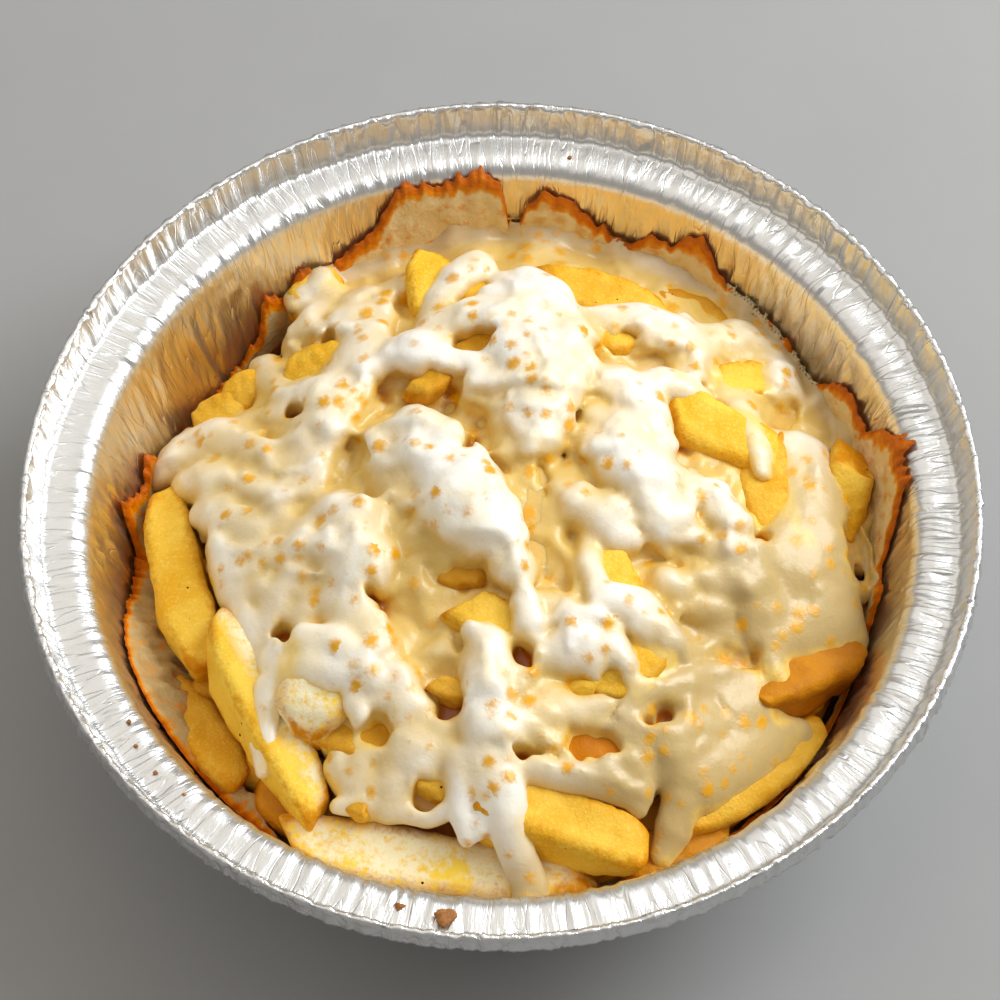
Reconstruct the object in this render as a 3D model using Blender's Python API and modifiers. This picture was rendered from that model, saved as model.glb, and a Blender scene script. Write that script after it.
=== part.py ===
"""Cheese fries in a round foil pan: a heap of thick-cut fries baked under melted cheese.

The pan stands on z = 0 with its centre on the Z axis. -Y is the near side, +X the right.
All sizes are in metres, and every azimuth is in degrees, counted from +X towards +Y.
"""

import math
import random

import bmesh
import bpy
from mathutils import Matrix, Vector

# Foil pan: radii and heights of the sheet's middle line
SHEET = 0.0006
BASE_RADIUS = 0.0702
MOUTH_RADIUS = 0.0809
LEDGE_HEIGHT = 0.0447
FOLD_RADIUS = 0.0894
CREST_RADIUS = 0.0914
CREST_HEIGHT = 0.0519
BASE_CORNER = 0.0070
MOUTH_CORNER = 0.0040
FOLD_CORNER = 0.0014
HEM_THICKNESS = 0.0014
HEM_DROP = 0.0028
HEM_FLARE = 0.0013
CORNER_STEPS = 2

# Pleats pressed into the sheet: one ridge and one groove for each two columns
PAN_COLUMNS = 96
PLEAT_DEPTH = (0.00012, 0.00032)
PLEAT_START = (0.0030, 0.0110)
PLEAT_SEED = 7

# The heap: its height along the wall by azimuth, and at its middle
HEAP_MIDDLE = 0.0480
HEAP_AT_WALL = {
    0: 0.025, 30: 0.025, 60: 0.027, 90: 0.027, 120: 0.022, 150: 0.018,
    180: 0.020, 210: 0.021, 240: 0.027, 270: 0.029, 300: 0.028, 330: 0.020,
}
HEAP_RADIUS = 0.0770
CORE_DEPTH = 0.0042
CORE_COLUMNS = 44
CORE_RINGS = 18
FOOT_RADIUS = 0.0610
FLOOR_SHARE = 2 / 18
SIDE_SHARE = 4 / 18

# Room left between two pieces, and between the food and the pleated wall
GAP = 0.00035
WALL_GAP = 0.0009
FRY_WALL_GAP = 0.0014

# Fries that show: both ends as x, y and rise of the axis over the heap, then width, depth, bow
FRIES = {
    "left_top": ((-0.0680, 0.0143, -0.0008), (-0.0566, -0.0265, -0.0008), 0.0100, 0.0095, 0.0015),
    "left_middle": ((-0.0557, -0.0202, 0.0018), (-0.0343, -0.0592, -0.0012), 0.0105, 0.0105, 0.0),
    "left_low": ((-0.0654, -0.0249, -0.0065), (-0.0501, -0.0484, -0.0065), 0.0100, 0.0095, 0.0005),
    "left_bottom": ((-0.0470, -0.0470, -0.0080), (-0.0310, -0.0600, -0.0080), 0.0110, 0.0100, 0.0),
    "front_long": ((-0.0385, -0.0595, -0.0043), (0.0160, -0.0680, -0.0050), 0.0120, 0.0110, 0.0020),
    "front_fat": ((-0.0075, -0.0570, -0.0010), (0.0265, -0.0657, -0.0012), 0.0125, 0.0125, 0.0005),
    "front_right": ((0.0340, -0.0598, -0.0045), (0.0614, -0.0372, -0.0050), 0.0110, 0.0105, 0.0),
    "right_brown": ((0.0490, -0.0345, -0.0020), (0.0700, -0.0178, -0.0040), 0.0130, 0.0115, 0.0),
    "right_leaning": ((0.0680, 0.0055, -0.0040), (0.0705, 0.0185, 0.0060), 0.0095, 0.0095, 0.0),
    "right_bright": ((0.0310, 0.0265, 0.0), (0.0550, 0.0170, -0.0010), 0.0125, 0.0110, 0.0015),
    "right_curved": ((0.0526, 0.0215, -0.0015), (0.0575, -0.0060, -0.0015), 0.0110, 0.0105, 0.0030),
    "back_middle": ((0.0060, 0.0585, -0.0020), (0.0330, 0.0520, -0.0025), 0.0115, 0.0105, 0.0),
    "back_tip": ((-0.0135, 0.0460, -0.0030), (-0.0155, 0.0655, 0.0050), 0.0100, 0.0090, 0.0),
    "back_left": ((-0.0416, 0.0379, -0.0018), (-0.0285, 0.0395, -0.0018), 0.0100, 0.0095, 0.0),
    "back_corner": ((-0.0430, 0.0555, -0.0025), (-0.0337, 0.0630, 0.0012), 0.0110, 0.0100, 0.0),
    "wall_left": ((-0.0620, 0.0320, -0.0038), (-0.0490, 0.0400, -0.0034), 0.0095, 0.0090, 0.0),
    "centre": ((-0.0085, -0.0216, -0.0022), (0.0032, -0.0284, -0.0022), 0.0105, 0.0100, 0.0),
    "centre_right": ((0.0180, -0.0080, -0.0015), (0.0240, -0.0220, -0.0020), 0.0100, 0.0100, 0.0),
    "end_right": ((0.0300, -0.0275, -0.0012), (0.0206, -0.0388, -0.0012), 0.0110, 0.0105, 0.0),
    "end_left": ((-0.0335, -0.0275, 0.0003), (-0.0363, -0.0455, 0.0003), 0.0150, 0.0120, 0.0),
    "front_crossing": ((0.0080, -0.0440, -0.0035), (0.0270, -0.0455, -0.0040), 0.0110, 0.0100, 0.0),
}
FRY_BEVEL = 0.0022
FRY_TAPER = 0.14
FRY_SECTIONS = 4

# Melted cheese: how far out it lies by azimuth (past the wall's radius, it meets the wall)
CHEESE_REACH = {
    -176: 0.062, -160: 0.057, -148: 0.055, -138: 0.057, -126: 0.055, -116: 0.063,
    -104: 0.062, -97: 0.066, -90: 0.073, -83: 0.064, -76: 0.055, -66: 0.058,
    -56: 0.066, -44: 0.066, -32: 0.070, -25: 0.060, -16: 0.071, -6: 0.074,
    4: 0.075, 14: 0.082, 122: 0.082, 132: 0.068, 144: 0.062, 158: 0.072, 170: 0.067,
}
CHEESE_COVER = 0.0006
CHEESE_COLUMNS = 52
CHEESE_RINGS = 22
UNDER_SHARE = 3 / 22
UNDER_DEPTH = 0.0040

# Ridges of the cheese: both ends as x, y and height over the cover, then the half width
RIDGES = (
    ((-0.006, 0.059, 0.0085), (0.008, 0.037, 0.0080), 0.0075),
    ((0.008, 0.037, 0.0080), (0.012, 0.020, 0.0070), 0.0075),
    ((-0.040, 0.046, 0.0040), (-0.021, 0.056, 0.0045), 0.0065),
    ((-0.019, 0.037, 0.0060), (-0.031, 0.024, 0.0050), 0.0070),
    ((-0.031, 0.024, 0.0050), (-0.039, 0.007, 0.0040), 0.0065),
    ((-0.019, 0.015, 0.0060), (-0.005, -0.012, 0.0060), 0.0070),
    ((-0.029, -0.001, 0.0060), (-0.032, -0.015, 0.0050), 0.0065),
    ((-0.032, -0.015, 0.0050), (-0.035, -0.028, 0.0040), 0.0060),
    ((-0.038, -0.031, 0.0065), (-0.027, -0.040, 0.0065), 0.0055),
    ((-0.057, 0.019, 0.0030), (-0.052, -0.003, 0.0035), 0.0065),
    ((-0.052, -0.003, 0.0035), (-0.046, -0.020, 0.0030), 0.0065),
    ((0.020, 0.027, 0.0050), (0.029, -0.002, 0.0060), 0.0075),
    ((0.011, -0.016, 0.0060), (0.028, -0.030, 0.0050), 0.0065),
    ((-0.002, -0.031, 0.0050), (-0.006, -0.046, 0.0050), 0.0060),
    ((-0.006, -0.046, 0.0050), (0.001, -0.060, 0.0055), 0.0055),
    ((0.001, -0.060, 0.0055), (0.004, -0.073, 0.0050), 0.0045),
    ((0.029, 0.006, 0.0050), (0.040, -0.008, 0.0040), 0.0065),
    ((0.040, -0.008, 0.0040), (0.051, -0.019, 0.0040), 0.0065),
    ((0.017, 0.041, 0.0040), (0.040, 0.045, 0.0040), 0.0060),
    ((0.040, 0.045, 0.0040), (0.058, 0.042, 0.0040), 0.0060),
    ((0.029, -0.040, 0.0030), (0.046, -0.029, 0.0030), 0.0050),
    ((0.037, -0.054, 0.0030), (0.056, -0.037, 0.0025), 0.0060),
    ((0.059, 0.013, 0.0030), (0.069, -0.010, 0.0025), 0.0070),
    ((0.004, 0.004, 0.0050), (0.011, -0.011, 0.0050), 0.0065),
)

# Cheese baked on to the wall: the height of its ragged upper edge by azimuth
CRUST_EDGE = {
    -14: 0.0210, -8: 0.0285, -2: 0.0300, 2: 0.0385, 6: 0.0425, 12: 0.0428, 18: 0.0350,
    26: 0.0350, 33: 0.0280, 40: 0.0295, 46: 0.0305, 55: 0.0350, 59: 0.0400, 65: 0.0340,
    72: 0.0305, 81: 0.0390, 86: 0.0370, 89: 0.0290, 93: 0.0428, 99: 0.0420, 106: 0.0430,
    111: 0.0350, 118: 0.0285, 124: 0.0310, 130: 0.0300, 135: 0.0220,
}
CRUST_THICKNESS = 0.0014
CHEESE_WALL_GAP = 0.00137
CRUST_FOOT = 0.0090
CRUST_COLUMNS = 44
CRUST_ROWS = 2


def smooth(share):
    """An S-shaped step from 0 to 1."""
    share = min(max(share, 0.0), 1.0)
    return share * share * (3.0 - 2.0 * share)


def between(stations, azimuth):
    """The value at an azimuth of a closed ring of stations."""
    azimuths = sorted(stations)
    last = azimuths[-1]
    ring = [(last - 360.0, stations[last])]
    ring += [(each, stations[each]) for each in azimuths]
    ring += [(azimuths[0] + 360.0, stations[azimuths[0]])]
    if azimuth > last:
        azimuth -= 360.0
    if azimuth < ring[0][0]:
        azimuth += 360.0
    for (start, low), (end, high) in zip(ring, ring[1:]):
        if start <= azimuth <= end:
            return low + (high - low) * smooth((azimuth - start) / (end - start))
    return ring[-1][1]


def heap_top(x, y):
    """Height of the heap's even surface: a dome that ends along the wall."""
    azimuth = math.degrees(math.atan2(y, x))
    at_wall = between(HEAP_AT_WALL, azimuth)
    out = min(math.hypot(x, y) / HEAP_RADIUS, 1.0)
    return at_wall + (HEAP_MIDDLE - at_wall) * (1.0 - out * out)


def wall_radius(height):
    """Radius of the wall's inner face."""
    lean = (MOUTH_RADIUS - BASE_RADIUS) / LEDGE_HEIGHT
    return BASE_RADIUS + lean * height - SHEET / 2


def inside_pan(point, room):
    """The point itself, or drawn in to stand clear of the wall by the room given."""
    most = wall_radius(point.z) - room
    radius = math.hypot(point.x, point.y)
    if radius <= most:
        return point
    return Vector((point.x * most / radius, point.y * most / radius, point.z))


def polar(azimuth, radius, height):
    """The point at an azimuth, a radius and a height."""
    turn = math.radians(azimuth)
    return Vector((radius * math.cos(turn), radius * math.sin(turn), height))


def clear_scene():
    for thing in list(bpy.data.objects):
        bpy.data.objects.remove(thing, do_unlink=True)


def new_collection(name):
    group = bpy.data.collections.new(name)
    bpy.context.scene.collection.children.link(group)
    return group


def new_material(name, color, roughness, metallic):
    material = bpy.data.materials.new(name)
    material.use_nodes = True
    surface = material.node_tree.nodes["Principled BSDF"]
    surface.inputs["Base Color"].default_value = (*color, 1.0)
    surface.inputs["Roughness"].default_value = roughness
    surface.inputs["Metallic"].default_value = metallic
    return material


def object_from(name, form, group):
    """A named object that holds a bmesh, in a collection."""
    mesh = bpy.data.meshes.new(name)
    form.to_mesh(mesh)
    form.free()
    thing = bpy.data.objects.new(name, mesh)
    group.objects.link(thing)
    return thing


def settle(thing):
    """Applies an object's modifiers."""
    seen = thing.evaluated_get(bpy.context.evaluated_depsgraph_get())
    thing.data = bpy.data.meshes.new_from_object(seen)
    thing.modifiers.clear()


def combine(thing, group, operation, solver="EXACT"):
    """One Boolean of an object with a collection, applied, and the collection's objects removed."""
    step = thing.modifiers.new(operation.title(), "BOOLEAN")
    step.operation = operation
    step.operand_type = "COLLECTION"
    step.collection = group
    step.solver = solver
    settle(thing)
    for piece in list(group.objects):
        bpy.data.objects.remove(piece, do_unlink=True)
    bpy.data.collections.remove(group)


def keep_largest(thing):
    """Drops loose scraps, and fills sealed hollows by dropping the surface that lines them."""
    form = bmesh.new()
    form.from_mesh(thing.data)
    unseen = set(form.verts)
    islands = []
    while unseen:
        reached = [unseen.pop()]
        for vert in reached:
            for edge in vert.link_edges:
                other = edge.other_vert(vert)
                if other in unseen:
                    unseen.remove(other)
                    reached.append(other)
        islands.append(reached)
    islands.sort(key=len)
    for scrap in islands[:-1]:
        bmesh.ops.delete(form, geom=scrap, context="VERTS")
    form.to_mesh(thing.data)
    form.free()


def rounded(corners, steps):
    """An outline through the corners, each an arc of its own radius."""
    points = [Vector(corners[0][:2])]
    for before, corner, after in zip(corners, corners[1:], corners[2:]):
        here = Vector(corner[:2])
        back = (Vector(before[:2]) - here).normalized()
        ahead = (Vector(after[:2]) - here).normalized()
        half = back.angle(ahead) / 2
        middle = here + (back + ahead).normalized() * corner[2] / math.sin(half)
        arm = here + back * corner[2] / math.tan(half) - middle
        turn = math.pi - 2 * half
        if back.x * ahead.y - back.y * ahead.x > 0:
            turn = -turn
        for step in range(steps + 1):
            points.append(middle + Matrix.Rotation(turn * step / steps, 2) @ arm)
    points.append(Vector(corners[-1][:2]))
    return points


def beside(points, distance):
    """The outline moved sideways, to the left of its run, by a distance."""
    moved = []
    for index, point in enumerate(points):
        before = points[max(index - 1, 0)]
        after = points[min(index + 1, len(points) - 1)]
        along = (after - before).normalized()
        moved.append(point + Vector((-along.y, along.x)) * distance)
    return moved


def pan_profile():
    """The sheet's section: along its inner side, round the hem, and down its outer side."""
    corners = (
        (0.0, SHEET / 2, 0.0),
        (BASE_RADIUS, SHEET / 2, BASE_CORNER),
        (MOUTH_RADIUS, LEDGE_HEIGHT, MOUTH_CORNER),
        (FOLD_RADIUS, LEDGE_HEIGHT, FOLD_CORNER),
        (CREST_RADIUS, CREST_HEIGHT, 0.0),
    )
    middle = rounded(corners, CORNER_STEPS)
    inner = beside(middle, SHEET / 2)
    outer = beside(middle, -SHEET / 2)
    up = (middle[-1] - middle[-2]).normalized()
    out = Vector((up.y, -up.x))
    hem_top = middle[-1] + out * (HEM_THICKNESS - SHEET / 2)
    hem_end = hem_top - up * HEM_DROP + out * HEM_FLARE
    crown = (inner[-1] + hem_top) / 2 + up * SHEET / 2
    root = outer[-1] - up * HEM_DROP
    return inner + [crown, hem_top, hem_end, root] + outer[-2::-1]


def pleat(pan):
    """Presses alternate ridges and grooves into the wall, the ledge and the rim."""
    chance = random.Random(PLEAT_SEED)
    depths = [chance.uniform(*PLEAT_DEPTH) * (-1) ** column for column in range(PAN_COLUMNS)]
    start, full = PLEAT_START
    for vert in pan.data.vertices:
        radius = math.hypot(vert.co.x, vert.co.y)
        azimuth = math.degrees(math.atan2(vert.co.y, vert.co.x))
        depth = depths[round(azimuth * PAN_COLUMNS / 360.0) % PAN_COLUMNS]
        depth *= smooth((vert.co.z - start) / (full - start))
        on_ledge = MOUTH_RADIUS + MOUTH_CORNER / 2 < radius < FOLD_RADIUS - FOLD_CORNER / 2
        if on_ledge:
            vert.co.z += depth / 2
        elif radius > FOOT_RADIUS:
            vert.co = polar(azimuth, radius + depth, vert.co.z)


def make_foil_pan(group):
    """The pan: one folded sheet, turned round the Z axis and pleated."""
    points = pan_profile()
    form = bmesh.new()
    verts = [form.verts.new((point.x, 0.0, point.y)) for point in points]
    for first, second in zip(verts, verts[1:]):
        form.edges.new((first, second))
    pan = object_from("foil_pan", form, group)
    turn = pan.modifiers.new("Turn", "SCREW")
    turn.steps = PAN_COLUMNS
    turn.render_steps = PAN_COLUMNS
    turn.use_merge_vertices = True
    turn.merge_threshold = 0.00001
    settle(pan)
    pleat(pan)
    return pan


def shaped_ball(name, columns, rings, place, group):
    """A ball whose points are laid by place(azimuth, share), the share running up its side."""
    form = bmesh.new()
    bmesh.ops.create_uvsphere(form, u_segments=columns, v_segments=rings, radius=1.0)
    for vert in form.verts:
        share = 1.0 - math.acos(min(max(vert.co.z, -1.0), 1.0)) / math.pi
        vert.co = place(math.degrees(math.atan2(vert.co.y, vert.co.x)), share)
    return object_from(name, form, group)


def core_point(azimuth, share, grown):
    """A point of the heap's core: over the floor, up the wall, then over the top to the middle."""
    floor = SHEET + GAP - grown
    at_wall = polar(azimuth, wall_radius(HEAP_MIDDLE / 2), 0.0)
    shoulder = heap_top(at_wall.x, at_wall.y) - CORE_DEPTH + grown
    if share <= FLOOR_SHARE:
        return polar(azimuth, (FOOT_RADIUS + grown) * share / FLOOR_SHARE, floor)
    if share <= SIDE_SHARE:
        climb = (share - FLOOR_SHARE) / (SIDE_SHARE - FLOOR_SHARE)
        height = BASE_CORNER + (shoulder - BASE_CORNER) * climb
        return polar(azimuth, wall_radius(height) - WALL_GAP + grown, height)
    inward = 1.0 - (share - SIDE_SHARE) / (1.0 - SIDE_SHARE)
    radius = (wall_radius(shoulder) - WALL_GAP + grown) * inward
    spot = polar(azimuth, radius, 0.0)
    spot.z = heap_top(spot.x, spot.y) - CORE_DEPTH + grown
    return spot


def make_fry(name, group, grown):
    """One fry: a bevelled bar, cut across, bowed, tapered and kept inside the pan."""
    start, end, width, depth, bow = FRIES[name]
    first = Vector((start[0], start[1], heap_top(start[0], start[1]) + start[2]))
    last = Vector((end[0], end[1], heap_top(end[0], end[1]) + end[2]))
    length = (last - first).length + 2 * grown
    form = bmesh.new()
    bmesh.ops.create_cube(form, size=1.0)
    size = Vector((length, width + 2 * grown, depth + 2 * grown))
    bmesh.ops.scale(form, vec=size, verts=form.verts)
    bmesh.ops.bevel(form, geom=form.edges[:], offset=FRY_BEVEL, segments=1, affect="EDGES")
    for cut in range(1, FRY_SECTIONS):
        across = Vector((length * (cut / FRY_SECTIONS - 0.5), 0.0, 0.0))
        everything = form.verts[:] + form.edges[:] + form.faces[:]
        bmesh.ops.bisect_plane(form, geom=everything, plane_co=across, plane_no=(1.0, 0.0, 0.0))
    for vert in form.verts:
        along = 2 * vert.co.x / length
        narrow = 1.0 - FRY_TAPER * along * along
        vert.co.y = vert.co.y * narrow - bow * (1.0 - along * along)
        vert.co.z *= narrow
    forward = (last - first).normalized()
    sideways = Vector((0.0, 0.0, 1.0)).cross(forward).normalized()
    upward = forward.cross(sideways)
    frame = Matrix((forward, sideways, upward)).transposed()
    for vert in form.verts:
        vert.co = inside_pan((first + last) / 2 + frame @ vert.co, FRY_WALL_GAP - grown)
    return object_from("fry_" + name, form, group)


def make_heap(name, group, grown=0.0):
    """The heap: a smooth core with the fries that show joined on, or both grown for a cut."""

    def place(azimuth, share):
        return core_point(azimuth, share, grown)

    heap = shaped_ball(name, CORE_COLUMNS, CORE_RINGS, place, group)
    bars = new_collection(name + "_bars")
    for fry in FRIES:
        make_fry(fry, bars, grown)
    combine(heap, bars, "UNION")
    keep_largest(heap)
    return heap


def ridge_height(x, y):
    """Height of the highest cheese ridge at a place, each falling off to both sides."""
    spot = Vector((x, y))
    best = 0.0
    for start, end, width in RIDGES:
        first = Vector(start[:2])
        run = Vector(end[:2]) - first
        share = min(max((spot - first).dot(run) / run.length_squared, 0.0), 1.0)
        away = (spot - first - run * share).length
        height = start[2] + (end[2] - start[2]) * share
        best = max(best, height * math.exp(-((away / width) ** 2)))
    return best


def blanket_point(azimuth, share):
    """A point of the cheese blanket: under the core's skin to the edge, then back over the top."""
    reach = between(CHEESE_REACH, azimuth)
    if share <= UNDER_SHARE:
        spot = polar(azimuth, reach * share / UNDER_SHARE, 0.0)
        spot.z = heap_top(spot.x, spot.y) - CORE_DEPTH - UNDER_DEPTH
    else:
        inward = 1.0 - (share - UNDER_SHARE) / (1.0 - UNDER_SHARE)
        spot = polar(azimuth, reach * inward, 0.0)
        spot.z = heap_top(spot.x, spot.y) + CHEESE_COVER + ridge_height(spot.x, spot.y)
    return inside_pan(spot, CHEESE_WALL_GAP)


def make_wall_crust(group):
    """Cheese baked on to the wall: a thin bent sheet with a ragged upper edge."""
    start, end = min(CRUST_EDGE), max(CRUST_EDGE)
    form = bmesh.new()
    bmesh.ops.create_grid(form, x_segments=CRUST_COLUMNS, y_segments=CRUST_ROWS, size=1.0)
    for vert in form.verts:
        azimuth = start + (end - start) * (vert.co.x + 1.0) / 2
        climb = (vert.co.y + 1.0) / 2
        outer = wall_radius(0.0)
        edge = polar(azimuth, outer, 0.0)
        foot = heap_top(edge.x, edge.y) - CRUST_FOOT
        top = max(between(CRUST_EDGE, azimuth), foot + CRUST_THICKNESS)
        height = foot + (top - foot) * climb
        vert.co = polar(azimuth, wall_radius(height) - WALL_GAP, height)
    crust = object_from("wall_crust", form, group)
    thick = crust.modifiers.new("Thickness", "SOLIDIFY")
    thick.thickness = CRUST_THICKNESS
    thick.offset = -1.0
    settle(crust)
    return crust


def make_melted_cheese(group):
    """The cheese: a ridged blanket and the crust on the wall, cut clear of the heap."""
    cheese = shaped_ball("melted_cheese", CHEESE_COLUMNS, CHEESE_RINGS, blanket_point, group)
    crust = new_collection("crust")
    make_wall_crust(crust)
    combine(cheese, crust, "UNION", "MANIFOLD")
    cutters = new_collection("cutters")
    make_heap("grown_heap", cutters, GAP)
    combine(cheese, cutters, "DIFFERENCE", "MANIFOLD")
    keep_largest(cheese)
    return cheese


def finish(thing, material):
    thing.data.materials.clear()
    thing.data.materials.append(material)
    thing.data.shade_smooth()
    thing.data.set_sharp_from_angle(angle=math.radians(35.0))


def main():
    clear_scene()
    group = new_collection("cheese_fries")
    foil = new_material("foil", (0.80, 0.80, 0.79), 0.28, 1.0)
    potato = new_material("potato", (0.86, 0.60, 0.22), 0.50, 0.0)
    cheese = new_material("cheese", (0.93, 0.86, 0.70), 0.35, 0.0)
    finish(make_foil_pan(group), foil)
    finish(make_heap("fries_heap", group), potato)
    finish(make_melted_cheese(group), cheese)


main()
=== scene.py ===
"""Looks of cheese fries in a round foil pan.

Lengths in this script are millimetres in the same frame as the part: the pan stands on z = 0
with its centre on the Z axis, and -Y is the near side. They become metres where a mesh is made.
"""

import itertools
import math

import bpy
import numpy as np
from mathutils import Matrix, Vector


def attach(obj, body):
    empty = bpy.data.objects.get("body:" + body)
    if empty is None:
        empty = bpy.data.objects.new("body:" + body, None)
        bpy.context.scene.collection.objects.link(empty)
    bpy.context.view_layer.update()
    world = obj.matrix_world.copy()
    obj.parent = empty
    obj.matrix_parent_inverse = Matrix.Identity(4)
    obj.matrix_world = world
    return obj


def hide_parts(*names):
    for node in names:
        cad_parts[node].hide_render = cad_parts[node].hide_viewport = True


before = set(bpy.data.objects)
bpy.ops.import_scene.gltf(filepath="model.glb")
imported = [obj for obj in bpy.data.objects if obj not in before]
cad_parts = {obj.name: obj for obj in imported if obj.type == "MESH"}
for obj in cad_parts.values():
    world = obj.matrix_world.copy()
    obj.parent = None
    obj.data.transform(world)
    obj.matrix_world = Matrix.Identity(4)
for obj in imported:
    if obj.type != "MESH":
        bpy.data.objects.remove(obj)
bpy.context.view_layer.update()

MM = 0.001

# Heap: its height along the wall by azimuth in degrees, and at its middle
HEAP_MIDDLE = 48.0
HEAP_RADIUS = 77.0
HEAP_AT_WALL = {
    0: 25, 30: 25, 60: 27, 90: 27, 120: 22, 150: 18,
    180: 20, 210: 21, 240: 27, 270: 29, 300: 28, 330: 20,
}

# Foil pan: the middle line of its sheet, as in the part
SHEET = 0.6
BASE_RADIUS = 70.2
MOUTH_RADIUS = 80.9
LEDGE_HEIGHT = 44.7
FOLD_RADIUS = 89.4
CREST_RADIUS = 91.4
CREST_HEIGHT = 51.9
BASE_CORNER = 7.0
MOUTH_CORNER = 4.0
FOLD_CORNER = 1.4
HEM_THICKNESS = 1.4
HEM_DROP = 2.8
HEM_FLARE = 1.3
FOIL_COLUMNS = 1240

# Rings of the sheet, by their distance along its middle line: sparse over the base and its corner,
# even up the wall, and close from under the shoulder to the crest
INNER_BASE_RINGS = (8, 40, 58, 63, 67, 71, 76, 81)
INNER_WALL_RINGS = (86.0, 107.0, 12)
INNER_TOP_RINGS = (108.2, 23)
OUTER_TOP_RINGS = (108.0, 12)
OUTER_BASE_RINGS = (102, 95, 87, 79, 73, 69, 65, 60, 40, 8)
OUTER_GAP = 1.4
ARC_STEPS = 9
NORMAL_REACH = 0.3

# Creases of the sheet: how many round the pan, seed, and how far they drift as they run
COARSE_CREASES = (236, 3, 0.9)
FINE_CREASES = (470, 4, 0.8)
PRESSED_CREASES = (300, 5, 0.35)
RIM_CREASES = (460, 6, 0.5)
HEM_BEADS = (330, 9, 0.3)
SMALL_BEADS = (640, 10, 0.3)
CREASE_DRIFT_RUN = 12.0

# Heights of those creases: coarse and fine on the wall, pressed on the shoulder and the ledge with
# the most that they are dented there, then rim and coarse on the rim, and both kinds of bead
WALL_RELIEF = (0.5, 0.32)
SHOULDER_RELIEF = 0.2
LEDGE_RELIEF = 0.5
LEDGE_DENT = -0.3
RIM_RELIEF = (0.46, 0.2)
BEAD_RELIEF = (0.34, 0.2)

# Where creases grow and fade, as a start and a width: up from the base, below the mouth, below the
# ledge, past the mouth and before the fold; then how far before the mouth the ledge's creases start,
# the power of their leaf shape, how even the gaps between creases are, and the lowest share of height
FROM_BASE = (2.0, 9.0)
BELOW_MOUTH = (0.8, 1.2)
BELOW_LEDGE = (5.0, 3.0)
PAST_MOUTH = (3.0, 2.0)
BEFORE_FOLD = (0.6, 1.2)
LEDGE_START = 1.5
LEAF_POWER = 0.6
GAP_EVENNESS = 4.0
LOWEST_CREASE = 0.25

# Foil: how strongly the ledge is folded and how much gold of fat stain and painted reflection of the food
# tints the wall, by azimuth
LEDGE_FOLDS = {0: 1.0, 45: 0.7, 90: 0.35, 150: 0.45, 185: 0.4, 230: 0.75, 270: 1.0, 320: 1.0}
WALL_STAIN_AND_REFLECTION = {0: 0.5, 25: 0.45, 45: 0.55, 75: 0.75, 120: 0.8, 165: 0.75, 200: 0.7, 250: 0.6, 320: 0.5}
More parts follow.
